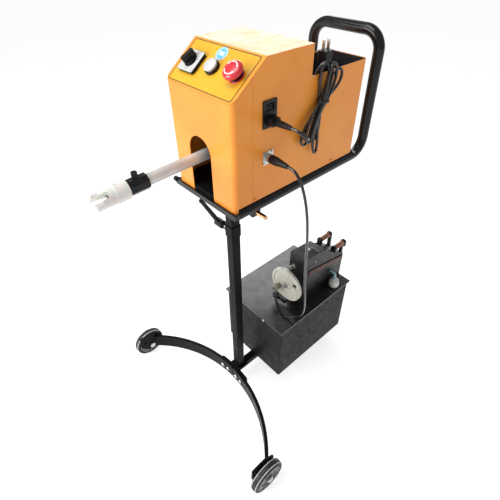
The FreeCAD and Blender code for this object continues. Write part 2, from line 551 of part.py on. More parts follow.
spool = lathe([(12.0 + RUN, 0), (98, 0), (98, 4), (34, 4), (34, SPW - 4), (98, SPW - 4), (98, SPW),
               (12.0 + RUN, SPW)], V(spx - SPW / 2, spy, spz), X)
group([spool, ring(V(spx - SPW / 2 + 4, spy, spz), X, 78.0, 34.0, SPW - 8)], "wire_spool")
spin = cyl(V(cx0 + 2, spy, spz), X, 12.0, cx1 - cx0 - 4)
spin = spin.fuse(ring(V(spx - SPW / 2 - 6.5, spy, spz), X, 18, 12, 6.0)).fuse(
    ring(V(spx + SPW / 2 + 0.5, spy, spz), X, 18, 12, 6.0)).removeSplitter()
export(fuse([cab, spin]), "cabinet")

# ---- lower head ------------------------------------------------------------------
hx0, hx1, hy0, hy1 = HEAD_X0, HEAD_X1, HEAD_Y0, HEAD_Y1
HT = BOX_TOP + HEAD_H
HM = (hx0 + hx1) / 2
RIDGE_Y, RIDGE_Z = 352.0, HT - 9.0
prof = [(hy0, BOX_TOP), (hy0, HT), (RIDGE_Y, RIDGE_Z), (RIDGE_Y + 14, RIDGE_Z - 16), (398, RIDGE_Z - 32),
        (hy1, RIDGE_Z - 74), (hy1, BOX_TOP)]
hb = prism([V(hx0, y, z) for y, z in prof], V(hx1 - hx0, 0, 0))
hb = hb.makeFillet(3.0, edges_where(hb, lambda e: along(e, X) and e.Vertexes[0].Z > BOX_TOP + 50
                                    and e.Vertexes[0].Y < RIDGE_Y - 10))
STRIP_T = 3.0
strip_pts = [(hy0 + 22, HT - 56), (hy0 + 22, HT - 74), (hy1 - 3, BOX_TOP + 76), (hy1 - 3, BOX_TOP + 94)]
strip = prism([V(hx1, y, z) for y, z in strip_pts], V(STRIP_T, 0, 0))
HW_Y, HW_Z, HW_X, HW_R = 234.0, BOX_TOP + 82.0, 47.0, 58.0
WSH_R = 6.0
hb = hb.cut(cyl(V(HW_X, hy0 - 5, HW_Z), Y, WSH_R + RUN, 60))
export(hb, "head_housing")
export(strip, "copper_strip")
rib = []
px0, px1 = hx0 + 3, hx1 - 3
PL = FreeCAD.Placement(V(0, RIDGE_Y, RIDGE_Z), FreeCAD.Rotation(
    X, -math.degrees(math.atan2(9.0, RIDGE_Y - hy0))))
pl = rounded_box(px0, px1, -26, -1, 0.5, 3.0, 2.0)
for k in range(4):
    yk = -23.5 + 6.0 * k
    pl = pl.fuse(box(px0 + 4, px1 - 4, yk, yk + 2.6, 2.9, 5.0))
under = box(px0, px1, -26, -1, -0.2, 0.6)
ribbed = moved(pl.fuse(under), PL).cut(hb)
export(ribbed.removeSplitter(), "ribbed_plate")

ROL_R, ROL_Y0, ROL_Y1, ROL_Z = 8.0, 407.0, 447.0, BOX_TOP + 150.0
brk, pins = [], []
for rx, tag in ((hx0 + 2.0, "left"), (hx1 - 1.0, "right")):
    rol = ring(V(rx, ROL_Y0, ROL_Z), Y, ROL_R, 3.0 + RUN, ROL_Y1 - ROL_Y0)
    export(rol, "roller_" + tag)
    pins.append(cyl(V(rx, ROL_Y0 - 6.5, ROL_Z), Y, 3.0, ROL_Y1 - ROL_Y0 + 13.0))
    for y0, y1 in ((ROL_Y0 - 6.5, ROL_Y0 - 0.5), (ROL_Y1 + 0.5, ROL_Y1 + 8.0)):
        blk = rounded_box(rx - 9, rx + 9, y0, y1, ROL_Z - 50, ROL_Z + 9, 6.0, Y)
        blk = blk.fuse(box(rx - 9 if rx < HM else rx - 9, rx + 9, y0, y1, ROL_Z - 60, ROL_Z - 30))
        blk = blk.common(box(hx0, hx1, y0, y1, ROL_Z - 70, ROL_Z + 20).fuse(
            box(rx - 9, rx + 9, y0, y1, ROL_Z - 12, ROL_Z + 20)))
        blk = blk.cut(hb).cut(cyl(V(rx, y0 - 1, ROL_Z), Y, 3.0, 20))
        brk.append(blk.removeSplitter())
group(brk + pins, "roller_brackets")

hw = lathe([(WSH_R, 0), (16, 0), (18, 3.5), (HW_R - 9, 3.5), (HW_R - 7, 0.5), (HW_R - 1.5, 0.5), (HW_R,
                                                            2.0),
            (HW_R, 9.0), (HW_R - 1.5, 10.5), (HW_R - 7, 10.5), (HW_R - 9, 8.0), (18, 8.0), (16, 13.0),
            (WSH_R, 13.0)], V(HW_X, HW_Y - 5, HW_Z), Y)
hw = hw.cut(box(HW_X + 24, HW_X + 40, HW_Y - 20, HW_Y + 20, HW_Z + 8, HW_Z + 22))
KN_X, KN_Z = HW_X - 26.0, HW_Z - 20.0
hw = hw.cut(cyl(V(KN_X, HW_Y - 20, KN_Z), Y, 3.5, 40))
export(hw, "handwheel")
wsh = cyl(V(HW_X, HW_Y - 7, HW_Z), Y, WSH_R, hy0 - HW_Y + 60)
wsh = wsh.fuse(lathe([(0, 0), (9.0, 0), (9.0, 3.0), (5.0, 5.5), (0, 5.5)], V(HW_X, HW_Y - 5, HW_Z),
                     Y * -1))
wsh = wsh.common(box(-500, 500, 0, hy0 + 50, 0, 2000)).removeSplitter()
cp = cyl(V(KN_X, HW_Y - 28, KN_Z), Y, 3.45, 32).fuse(cyl(V(KN_X, HW_Y - 31, KN_Z), Y, 5.0,
                                                         3.0)).removeSplitter()
group([wsh, cp], "handwheel_pins")
kn = lathe([(3.45 + RUN, 0), (6.5, 0), (9.5, 5.0), (11.0, 14.0), (9.0, 20.0), (6.0, 21.5), (3.45 + RUN,
                                                            21.5)],
           V(KN_X, HW_Y - 27.5, KN_Z), Y)
export(kn, "crank_knob")
silver = lathe([(0, 0), (6.0, 0), (6.0, 6), (3.0, 6), (3.0, 14), (8.0, 14), (8.0, 19), (0, 19)],
               V(46.0, hy0 - 19, BOX_TOP + 140), Y)

BW_X, BW_Y = 106.0, 404.0
bowl = lathe([(0, 0), (11.0, 0), (15.5, 6.0), (17.0, 16.0), (14.0, 28.0), (7.0, 34.0), (7.0, 37.0), (0,
                                                            37.0)],
             V(BW_X, BW_Y, BOX_TOP), Z)
stem_p = [V(BW_X, BW_Y, BOX_TOP + 37.0), V(BW_X, BW_Y, BOX_TOP + 56.0), V(hx1, BW_Y, BOX_TOP + 56.0)]
stem_t, _, _ = shape_at(stem_p, 4.0)
group([bowl, stem_t], "oil_bowl")

GF = (4.0, 236.0)
foot = lathe([(0, 0), (11.0, 0), (11.0, 4.0), (7.0, 9.0), (0, 9.0)], V(GF[0], GF[1], BOX_TOP), Z)
G_Z = BOX_TOP + 5.5
G_DIR = V(0.72, -0.69, 0.0)
G_DIR.normalize()
foot = foot.fuse(cyl(V(GF[0], GF[1], G_Z), G_DIR, 4.5, 20.0)).fuse(
    box(GF[0] - 6, hx0 + 20, GF[1] - 4, GF[1] + 8, BOX_TOP, BOX_TOP + 6)).removeSplitter()
foot = foot.fuse(box(hx0 + 6, hx0 + 18, GF[1] - 4, hy0, BOX_TOP, BOX_TOP + 6)).removeSplitter()
export(foot, "cord_foot")
G_END = V(GF[0], GF[1], G_Z) + G_DIR * 20.0

# ---- guide tube, sleeve, nozzle ------------------------------------------------
# Local frame: origin at the pivot, +Y local runs forward along the tube, +Z local up.
TUBE = FreeCAD.Placement(V(SLOT_X, PIVOT_Y, TRAY_Z + PIVOT_Z), FreeCAD.Rotation(Z, 180)).multiply(
    FreeCAD.Placement(V(0, 0, 0), FreeCAD.Rotation(X, -TUBE_DROP)))


def on_tube(s):
    return moved(s, TUBE)


O = V(0, 0, 0)
SL0, SL1 = 276.0, 326.0
tube = ring(V(0, -20, 0), Y, TUBE_R, 8.0, SL1 + 4.7 + 20)
trun = rounded_box(-16, 16, -14, 14, -16, 16, 3.0, Y).cut(cyl(V(0, -30, 0), Y, TUBE_R, 60))
PIN_R = 6.0
for sx in (-1, 1):
    trun = trun.fuse(cyl(V(sx * 15.5, 0, 0), X * sx, PIN_R, 12.5))
trun = trun.cut(cyl(V(0, -30, 0), Y, TUBE_R, 60)).removeSplitter()
export(on_tube(fuse([tube, trun])), "guide_tube")
SLEEVE_R = 16.0
# sleeve grips the nozzle's spigot and turns with it
sleeve = prism([V(SLEEVE_R * math.cos(math.radians(22.5 + 45 * k)), SL0,
                  SLEEVE_R * math.sin(math.radians(22.5 + 45 * k)))
                for k in range(8)], V(0, SL1 - SL0 - 9.0, 0))
sleeve = sleeve.cut(cyl(V(0, SL0 - 5, 0), Y, TUBE_R + RUN, 80))
sleeve = sleeve.fuse(lathe([(TUBE_R + RUN, 0), (14.2, 0), (14.2, 10), (TUBE_R + RUN, 10)],
                           V(0, SL1 - 9.0, 0), Y)).removeSplitter()
SC_Y = 297.0
sleeve = sleeve.fuse(ring(V(0, SC_Y, TUBE_R + 0.5), Z, 5.5, 3.0, 4.5)).cut(
    cyl(V(0, SC_Y, 8.0), Z, 3.0 + RUN, 20)).removeSplitter()
export(on_tube(sleeve), "clamp_sleeve")
screw = cyl(V(0, SC_Y, TUBE_R + GAP), Z, 3.0, 14.0)
hd = cyl(V(0, SC_Y, 17.5), Z, 6.0, 9.0)
for k in range(12):
    a = 2 * math.pi * k / 12
    hd = hd.cut(cyl(V(6.3 * math.cos(a), SC_Y + 6.3 * math.sin(a), 16), Z, 0.9, 12))
hd = hd.cut(cyl(V(0, SC_Y, 22.5), Z, 3.0, 5))
export(on_tube(screw.fuse(hd).removeSplitter()), "thumb_screw")

noz = lathe([(14.25, 0), (NOZZLE_R - 1, 0), (NOZZLE_R, 1.0), (NOZZLE_R, 26.0), (NOZZLE_R - 1.5, 27.5),
             (NOZZLE_R - 1.5, 66.0), (NOZZLE_R - 4.5, 69.0), (5.5, 69.0), (5.5, 14.0),
             (TUBE_R + RUN, 14.0), (TUBE_R + RUN, 12.0), (14.25, 12.0)], V(0, SL1 - 9.0, 0), Y)
NB = SL1 - 9.0
FORK_GAP = 6.0          # half the gap of the fork
FORK_TURN = 47.0        # how far the fork is turned about the tube, degrees
noz = noz.cut(box(-30, 30, NB + 44, NB + 90, -FORK_GAP, FORK_GAP)).cut(
    cyl(V(-30, NB + 44, 0), X, FORK_GAP, 60))
for sx in (-1, 1):
    noz = noz.cut(prism([V(-40, NB + 40, sx * 30), V(40, NB + 40, sx * 30), V(40, NB + 90, sx * 30),
                         V(-40, NB + 90, sx * 30)], V(0, 0, -sx * 12.5)))
    noz = noz.cut(box(sx * 12.5 if sx > 0 else -40, 40 if sx > 0 else -12.5, NB + 54, NB + 90, -40, 40))
noz = moved(noz, FreeCAD.Placement(O, FreeCAD.Rotation(Y, FORK_TURN)))
noz = noz.cut(cyl(V(0, NB + 20, 0), Z, 1.6, 40))
export(on_tube(noz.removeSplitter()), "nozzle")

# ---- drive inside the enclosure ----------------------------------------------
pz = TRAY_Z + PIVOT_Z
cheeks = []
for sx in (-1, 1):
    x0 = SLOT_X + sx * 22.0
    ch = box(min(x0, x0 + sx * 5), max(x0, x0 + sx * 5), 128, 310, TRAY_Z + SHEET, pz + 45)
    ch = ch.makeFillet(10.0, edges_where(ch, lambda e: along(e, X) and e.Vertexes[0].Z > pz))
    ch = ch.cut(cyl(V(-60, PIVOT_Y, pz), X, PIN_R + RUN, 120))
    cheeks.append(ch)
DR_Y, DR_R = 214.0, 20.0
DR_Z = pz - DR_R - 0.9
PR_R = 18.0
PR_Z = pz + PR_R + 0.9
ARM_PY, ARM_PZ = 262.0, PR_Z + 4.0
SHAFT_R = 6.0
cheeks = [c.cut(cyl(V(-60, DR_Y, DR_Z), X, 9.0, 120)).cut(
    rounded_box(-60, 60, DR_Y - 9, DR_Y + 9, PR_Z - 10, PR_Z + 30, 5.0, X)).cut(
    cyl(V(-60, ARM_PY, ARM_PZ), X, 4.0, 120)) for c in cheeks]
roll = lathe([(0, -12), (8.0, -12), (8.0, -7), (DR_R, -7), (DR_R, -1.4), (DR_R - 1.0, 0), (DR_R, 1.4),
              (DR_R, 7), (8.0, 7), (8.0, 12), (SHAFT_R, 12), (SHAFT_R, 45), (0, 45)],
             V(SLOT_X, DR_Y, DR_Z), X)
export(roll, "drive_roll")
proll = lathe([(4.0 + RUN, -7), (PR_R, -7), (PR_R, 7), (4.0 + RUN, 7)], V(SLOT_X, DR_Y, PR_Z), X)
export(proll, "pressure_roll")
arm_l = []
for sx in (-1, 1):
    x0 = SLOT_X + sx * 12.0
    al = prism([V(min(x0, x0 + sx * 5), y, z) for y, z in (
        (DR_Y - 9, PR_Z - 9), (DR_Y + 10, PR_Z - 9), (ARM_PY + 10, ARM_PZ - 8), (ARM_PY + 10, ARM_PZ + 10),
        (DR_Y - 9, PR_Z + 12))], V(5, 0, 0))
    arm_l.append(al)
arm_l.append(box(SLOT_X - 14, SLOT_X + 14, DR_Y + PR_R + 4, DR_Y + PR_R + 12, PR_Z + 4, PR_Z + 12))
parm = fuse(arm_l)
parm = parm.fuse(cyl(V(SLOT_X - 17, DR_Y, PR_Z), X, 4.0, 34)).cut(cyl(V(-60, ARM_PY, ARM_PZ), X,
                                                                      4.0 + RUN, 120))
export(parm.removeSplitter(), "pressure_arm")
arm_pin = cyl(V(SLOT_X - 27, ARM_PY, ARM_PZ), X, 4.0, 54)
mx = SLOT_X + 27.0
gear = box(mx + 0.3, mx + 42, DR_Y - 28, DR_Y + 28, DR_Z - 28, DR_Z + 28).cut(
    cyl(V(mx - 5, DR_Y, DR_Z), X, SHAFT_R + RUN, 26)).cut(cyl(V(mx + 18, DR_Y, DR_Z), X, SHAFT_R + 0.5,
                                                              3.0))
gear = gear.makeFillet(3.0, edges_where(
    gear, lambda e: along(e, X) and abs(abs(e.Vertexes[0].Y - DR_Y) - 28) < 0.1))
motor = lathe([(0, 0), (18, 0), (20, 2), (20, 82), (16, 86), (0, 86)], V(mx + 22.5, DR_Y - 28, DR_Z),
              Y * -1)
group([gear, motor], "gearmotor")
ig = ring(V(SLOT_X, DEPTH - 14, pz), Y, 10.0, 4.0, 20).fuse(ring(V(SLOT_X, DEPTH, pz), Y, 15.0, 4.0, 5.0))
ig = ig.fuse(ring(V(SLOT_X, 248, pz), Y, 7.0, 3.0, DEPTH - 14 - 248)).removeSplitter()
group(cheeks + [arm_pin, ig], "drive_frame")
group([box(-92, -40, 236, 368, TRAY_Z + SHEET, TRAY_Z + SHEET + 42),
       box(-98, -94.5, 70, 190, TRAY_Z + 60, TRAY_Z + 180)], "electronics")

# fixing screws between enclosure and tray, and seam screws
fs = []
for sx in (-1, 1):
    for y in (52.0, 300.0):
        fs.append(lathe([(0, 0), (3.6, 0), (3.6, 1.4), (2.0, 2.6), (0, 2.8)],
                        V(sx * WIDTH / 2, y, TRAY_Z + 8.0), X * sx))
group(fs + scr + ls + [silver], "case_screws")

# ---- cords -------------------------------------------------------------------
LEAD_R = 3.0


def cord(points, r, name):
    solid, length, radii = shape_at(points, r)
    ideal = math.pi * r * r * length
    print("cord %s length %.0f mm, radii %s, volume ratio %.3f" % (
        name, length, " ".join("%.0f" % q for q in radii), solid.Volume / ideal))
    export(solid, name)
    return length


# control plug on the side socket
cpz = TRAY_Z + SK_Z
plug = lathe([(0, 0), (6.9, 0), (6.9, 8.5), (9.0, 8.5), (9.0, 22.0), (8.2, 24.0), (8.2, 28.0),
              (7.4, 30.0), (4.6, 52.0), (0, 52.0)], V(SIDE + 1.6, SK_Y, cpz), X)
export(plug, "control_plug")
CP_END = V(SIDE + 53.6, SK_Y, cpz)
LZ = BOX_TOP + LEAD_R + 0.3
lead_pts = [CP_END, CP_END + V(12, 0, 0), V(176, 86.8, TRAY_Z + 86), V(187, 87.6, TRAY_Z + 74),
            V(196, 89, TRAY_Z + 54), V(203, 91, TRAY_Z + 28), V(207, 93, TRAY_Z + 2),
            V(208.5, 96, TRAY_Z - 24), V(206, 104, TRAY_Z - 70), V(200, 114, TRAY_Z - 120),
            V(192, 126, TRAY_Z - 172), V(187, 137, TRAY_Z - 222), V(183, 148, TRAY_Z - 274),
            V(178, 160, TRAY_Z - 324), V(169, 174, TRAY_Z - 372), V(155, 187, TRAY_Z - 416),
            V(137, 196, TRAY_Z - 452), V(118, 196, LZ + 16), V(98, 190, LZ + 2.5), V(78, 190, LZ + 0.3),
            V(60, 196, LZ), V(45, 205, LZ + 0.6), G_END + G_DIR * 14, G_END]
cord(lead_pts, LEAD_R, "control_lead")

# mains plug in the side inlet
mp = box(SIDE - 3.5, SIDE + 19, IN_Y - 10.8, IN_Y + 10.8, PLUG_Z - 7.4, PLUG_Z + 7.4)
mp = mp.makeFillet(3.0, edges_where(mp, lambda e: along(e, X)))
mp = mp.fuse(Part.makeCone(6.6, 4.2, 36.5, V(SIDE + 18.5, IN_Y, PLUG_Z), X))
for k in range(5):
    mp = mp.fuse(cyl(V(SIDE + 21.5 + 6.5 * k, IN_Y, PLUG_Z), X, 7.0 - 0.45 * k, 2.6))
export(mp.removeSplitter(), "inlet_plug")
MAIN_R = 3.0
HX = SIDE + 10.8        # middle plane of the hank beside the enclosure wall


def at(x, y, z):
    """A point given from the tray's top."""
    return V(x, y, TRAY_Z + z)


M0 = V(SIDE + 55, IN_Y, PLUG_Z)
main_pts = [M0, M0 + V(13, 0, 0), at(178, 91.5, 162.5), at(184, 98, 155), at(181, 107, 149),
            at(172, 117, 144), at(159, 129, 138), at(146, 141, 131), at(133, 153, 123), at(121, 165, 114),
            at(112, 178, 105)]
cord(main_pts, MAIN_R, "mains_lead")

# tied hank beside the wall: stations (y, z above tray, half width along the wall, half thickness)
HANK = [(225, 56, 4, 3.5), (218, 65, 12, 7), (206, 80, 23, 8.5), (199, 98, 29, 9.5), (200, 115, 29, 10),
        (206, 134, 24, 10), (216, 152, 17, 10.4), (226, 169, 13, 10.4), (234, 189, 16, 10.4),
        (243, 207, 22, 10), (251, 221, 26, 9.4), (254, 231, 22, 8), (256, 238, 11, 4)]


def hank(stations):
    """Closed outer form of the tied bundle, lying against the side wall."""
    u = V(0, stations[-1][0] - stations[0][0], stations[-1][1] - stations[0][1])
    u.normalize()
    t = X.cross(u)
    rings = []
    for y, z, ry, rx in stations:
        pts = [at(HX, y, z) + t * (ry * math.cos(math.pi * k / 8)) + X * (rx * math.sin(math.pi * k / 8))
               for k in range(16)]
        rings.append(Part.makePolygon(pts + [pts[0]]))
    return Part.makeLoft(rings, True, True)


export(hank(HANK), "mains_hank")

# wall plug standing in the recess, its lead over the wall's edge into the hank
WX, WY, WB = 78.0, 262.0, 214.0
wall_plug = lathe([(0, 0), (4.4, 0), (6.5, 18), (0, 18)], at(WX, WY, WB - 17.8), Z)
wall_plug = wall_plug.fuse(rounded_box(WX - 11, WX + 11, WY - 13, WY + 13, TRAY_Z + WB,
                                       TRAY_Z + WB + 38, 5.0))
for sy in (-1, 1):
    wall_plug = wall_plug.fuse(box(WX - 3.2, WX + 3.2, WY + sy * 7.4 - 0.8, WY + sy * 7.4 + 0.8,
                                   TRAY_Z + WB + 37.5, TRAY_Z + WB + 56))
export(wall_plug.removeSplitter(), "wall_plug")
tail = [at(WX, WY, WB - 17.8), at(WX, WY, WB - 33), at(79, 257, 168), at(82.5, 247, 159), at(86, 234, 158),
        at(88.5, 222.5, 166), at(89.5, 215.5, 181), at(90, 215, 199), at(90.5, 220, 216), at(94.5, 228,
                                                            229),
        at(102, 237, 234), at(108, 244, 230)]
cord(tail, MAIN_R, "mains_tail")

# origin: on the floor, midway between the nozzle's tip and the rearmost point
y_tip = NODES["nozzle"].optimalBoundingBox(False, False).YMin
y_back = max(NODES[k].optimalBoundingBox(False, False).YMax for k in (
    "case_screws", "cabinet_lid", "tray_tube", "base_beam"))
shift = V(0, -(y_tip + y_back) / 2, 0)
for name in sorted(NODES):
    node = NODES[name].copy()
    node.translate(shift)
    node.exportStep("parts/%s.step" % name)
    print("%-18s solids %d valid %s volume %.0f" % (name, len(node.Solids), node.isValid(), node.Volume))
print("shift %.4f nodes %d" % (shift.y, len(NODES)))
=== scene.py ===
# %% [markdown]
# # Lesson: a wire feeder on a wheeled stand
# The machine is a folded steel case on a tray, carried by one square post. The engineering
# model already holds every size and every joint, so this script never moves its parts. It adds
# the camera, the light, the flexible leads, the finishes and the small details, and it takes
# each position from the loaded model.

# %% Load the engineering model
import json
import math

import bmesh
import bpy
from mathutils import Matrix, Vector


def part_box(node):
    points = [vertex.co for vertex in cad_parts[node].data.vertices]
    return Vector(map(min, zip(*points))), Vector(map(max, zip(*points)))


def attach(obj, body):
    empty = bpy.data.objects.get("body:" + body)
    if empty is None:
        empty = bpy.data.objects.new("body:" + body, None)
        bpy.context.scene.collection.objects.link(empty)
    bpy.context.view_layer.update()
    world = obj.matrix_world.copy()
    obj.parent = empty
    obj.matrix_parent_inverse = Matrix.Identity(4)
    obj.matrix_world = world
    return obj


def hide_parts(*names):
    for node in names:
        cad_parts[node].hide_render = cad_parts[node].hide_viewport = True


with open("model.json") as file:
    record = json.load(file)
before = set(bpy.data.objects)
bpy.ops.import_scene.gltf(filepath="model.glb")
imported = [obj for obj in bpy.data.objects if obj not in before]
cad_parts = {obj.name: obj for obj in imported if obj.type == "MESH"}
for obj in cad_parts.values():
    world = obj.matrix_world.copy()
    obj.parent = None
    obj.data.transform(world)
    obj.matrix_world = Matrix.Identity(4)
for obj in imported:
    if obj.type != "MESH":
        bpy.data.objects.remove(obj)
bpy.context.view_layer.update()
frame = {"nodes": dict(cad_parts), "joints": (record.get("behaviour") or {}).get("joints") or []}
nodes = frame["nodes"]
joints = {j["name"]: j for j in frame["joints"]}
MM = 0.001

# %% [markdown]
# ## One place to measure from
# Most details are given in millimetres from the middle of the case's front face, at the top of
# the tray. Reading that point from the model keeps the details in place if the model changes.

# %% Tray origin
RAIL_THICK = 25 * MM
TRAY = Vector((0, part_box("front_cover")[0].y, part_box("tray_tube")[0].z + RAIL_THICK))


def from_tray(points):
    """Points in millimetres from the tray origin, as row positions in metres."""
    return [TRAY + Vector(p) * MM for p in points]


print("tray origin:", [round(v, 4) for v in TRAY])

# %% [markdown]
# ## Camera
# The view is from the front right and above, close enough for strong perspective: the foot of
# the stand looks much smaller than the case. The lens and the position came from the case's
# own edges. A camera looks along its own -Z, so the third axis below points back at the eye.

# %% Camera
AROUND, ABOVE, LEAN = (math.radians(a) for a in (48.0, 40.67, -0.60))
toward_eye = Vector((math.sin(AROUND) * math.cos(ABOVE), -math.cos(AROUND) * math.cos(ABOVE),
                     math.sin(ABOVE)))
level = Vector((math.cos(AROUND), math.sin(AROUND), 0))
upward = toward_eye.cross(level)
eye_x = level * math.cos(LEAN) + upward * math.sin(LEAN)
eye_y = upward * math.cos(LEAN) - level * math.sin(LEAN)
EYE = (599.0, -412.5, 455.8)
eye_place = from_tray([EYE])[0]
lens = bpy.data.cameras.new("camera")
lens.lens, lens.sensor_width, lens.clip_end = 28.19, 36.0, 100.0
camera = bpy.data.objects.new("camera", lens)
bpy.context.scene.collection.objects.link(camera)
eye_turn = Matrix((eye_x, eye_y, toward_eye)).transposed().to_4x4()
camera.matrix_world = Matrix.Translation(eye_place) @ eye_turn
bpy.context.scene.camera = camera
print("camera at", [round(v, 3) for v in eye_place])

# %% [markdown]
# ## A finish with depth
# A real surface is never one flat colour: its tone drifts, its gloss is uneven and its skin has
# a grain. `finish` makes the shader and sets every plain value on the shader's own sockets.
# The three helpers after it add drift, uneven gloss and grain from noise in object coordinates,
# so the pattern stays on the part when a joint moves. A bevel node rounds sharp edges for the
# light only, which gives folded steel the thin highlight that the eye expects.

# %% Finish helpers
SURFACES = {}


def finish(name, colour, rough, metal=0.0, **more):
    """A Principled material; `more` holds further socket values, with _ for a space."""
    made = bpy.data.materials.new(name)
    made.use_nodes = True
    shader = made.node_tree.nodes["Principled BSDF"]
    values = {"Base Color": (*colour, 1.0), "Roughness": rough, "Metallic": metal}
    values.update({label.replace("_", " "): value for label, value in more.items()})
    for label, value in values.items():
        shader.inputs[label].default_value = value
    made.diffuse_color = (*colour, 1.0)
    SURFACES[name] = made
    return made


def add(made, kind, **values):
    """A node of that kind in the material, with its input values set by label."""
    part = made.node_tree.nodes.new("ShaderNode" + kind)
    for label, value in values.items():
        part.inputs[label.replace("_", " ")].default_value = value
    return part


def noise(made, scale, detail=3.0, stretch=(1, 1, 1), cells=False):
    """Noise per metre in object coordinates; returns the output that runs from 0 to 1."""
    link = made.node_tree.links.new
    where, turn = add(made, "TexCoord"), add(made, "Mapping", Scale=stretch)
    link(where.outputs["Object"], turn.inputs["Vector"])
    if cells:
        grain = add(made, "TexVoronoi", Scale=scale)
        link(turn.outputs[0], grain.inputs["Vector"])
        return grain.outputs["Distance"]
    grain = add(made, "TexNoise", Scale=scale, Detail=detail)
    link(turn.outputs[0], grain.inputs["Vector"])
    return grain.outputs["Fac"]


def drift(made, other, scale, low=0.4, high=0.62, **how):
    """The colour drifts between its own tone and `other`."""
    link, shader = made.node_tree.links.new, made.node_tree.nodes["Principled BSDF"]
    own = tuple(shader.inputs["Base Color"].default_value)
    spread = add(made, "MapRange", From_Min=low, From_Max=high)
    blend = made.node_tree.nodes.new("ShaderNodeMix")
    blend.data_type = "RGBA"
    blend.inputs[6].default_value, blend.inputs[7].default_value = own, (*other, 1.0)
    link(noise(made, scale, **how), spread.inputs["Value"])
    link(spread.outputs[0], blend.inputs[0])
    link(blend.outputs[2], shader.inputs["Base Color"])
    return made


def uneven(made, low, high, scale, **how):
    """The roughness wanders between two values."""
    link, shader = made.node_tree.links.new, made.node_tree.nodes["Principled BSDF"]
    spread = add(made, "MapRange", From_Min=0.3, From_Max=0.7, To_Min=low, To_Max=high)
    link(noise(made, scale, **how), spread.inputs["Value"])
    link(spread.outputs[0], shader.inputs["Roughness"])
    return made


def grained(made, *layers, edge=0.0):
    """Bumps, each (scale, height in mm, how); `edge` rounds sharp edges by that many mm."""
    link, normal = made.node_tree.links.new, None
    if edge:
        soft = made.node_tree.nodes.new("ShaderNodeBevel")
        soft.samples = 4
        soft.inputs["Radius"].default_value = edge * MM
        normal = soft.outputs[0]
    for scale, height, how in layers:
        bump = add(made, "Bump", Strength=1.0, Distance=height * MM)
        link(noise(made, scale, **how), bump.inputs["Height"])
        if normal:
            link(normal, bump.inputs["Normal"])
        normal = bump.outputs[0]
    link(normal, made.node_tree.nodes["Principled BSDF"].inputs["Normal"])
    return made


print("finish helpers ready")

# %% [markdown]
# ## Painted and coated steel
# The case has a smooth orange-yellow powder coat with a faint orange-peel skin. The stand is
# black powder coat, a little rougher. The cabinet's lid is glossier and speckled, as hammered
# paint is, and its body has a dull grain.

# %% Coats
paint = finish("orange_coat", (0.86, 0.305, 0.034), 0.34, Specular_IOR_Level=0.4)
drift(paint, (0.80, 0.262, 0.027), 7.0)
uneven(paint, 0.28, 0.40, 35.0)
grained(paint, (520.0, 0.010, {}), (9.0, 0.25, {}), edge=1.2)

stand_coat = finish("black_coat", (0.0045, 0.0045, 0.005), 0.32, Specular_IOR_Level=0.06)
drift(stand_coat, (0.008, 0.008, 0.009), 18.0)
uneven(stand_coat, 0.28, 0.46, 60.0)
grained(stand_coat, (1500.0, 0.006, {}), edge=0.9)

tray_coat = finish("tray_coat", (0.004, 0.004, 0.005), 0.20, Specular_IOR_Level=0.32)
drift(tray_coat, (0.007, 0.007, 0.009), 25.0)
uneven(tray_coat, 0.13, 0.24, 40.0)
grained(tray_coat, (90.0, 0.010, {}), edge=0.8)

lid_coat = finish("speckled_lid", (0.005, 0.0055, 0.006), 0.26, Coat_Weight=0.5, Coat_Roughness=0.16)
drift(lid_coat, (0.04, 0.042, 0.045), 900.0, low=0.16, high=0.05, cells=True)
uneven(lid_coat, 0.24, 0.42, 40.0)
grained(lid_coat, (650.0, 0.045, {}), (14.0, 0.5, {}), edge=0.8)

box_coat = finish("cabinet_coat", (0.007, 0.008, 0.007), 0.5, Specular_IOR_Level=0.14)
drift(box_coat, (0.011, 0.0125, 0.011), 30.0)
uneven(box_coat, 0.42, 0.62, 70.0)
grained(box_coat, (1100.0, 0.012, {}), (900.0, 0.012, {"cells": True}), edge=1.0)

lining = finish("recess_lining", (0.010, 0.0105, 0.013), 0.55)
drift(lining, (0.016, 0.0165, 0.020), 22.0)
uneven(lining, 0.48, 0.66, 50.0)
grained(lining, (1600.0, 0.02, {}), edge=0.6)

head_coat = finish("head_coat", (0.005, 0.005, 0.0065), 0.34, Specular_IOR_Level=0.28,
                   Coat_Weight=0.1, Coat_Roughness=0.2)
drift(head_coat, (0.010, 0.0105, 0.013), 24.0)
uneven(head_coat, 0.26, 0.5, 55.0)
grained(head_coat, (900.0, 0.012, {}), edge=1.0)
print("coats:", len(SURFACES))

# %% [markdown]
# ## Plastics, rubber and bare metal
# Moulded plastic has a faint spark-eroded grain. The nozzle is milky nylon, so light goes a
# little way in. Drawn tube and turned parts have fine marks along one direction only, made by
# stretching the noise.

# %% Plastics, rubber, metals
black_plastic = finish("black_plastic", (0.005, 0.005, 0.006), 0.34, Specular_IOR_Level=0.26)
drift(black_plastic, (0.009, 0.009, 0.011), 60.0)
uneven(black_plastic, 0.30, 0.46, 120.0)
grained(black_plastic, (2200.0, 0.012, {}), edge=0.5)

film = finish("yellow_film", (0.72, 0.385, 0.024), 0.36, Specular_IOR_Level=0.35)
drift(film, (0.69, 0.355, 0.020), 16.0)
uneven(film, 0.28, 0.38, 80.0)
grained(film, (3000.0, 0.004, {}))

white_plastic = finish("white_plastic", (0.58, 0.58, 0.57), 0.22, Coat_Weight=0.3)
drift(white_plastic, (0.50, 0.50, 0.49), 50.0)
uneven(white_plastic, 0.18, 0.30, 90.0)
grained(white_plastic, (1800.0, 0.006, {}), edge=0.5)

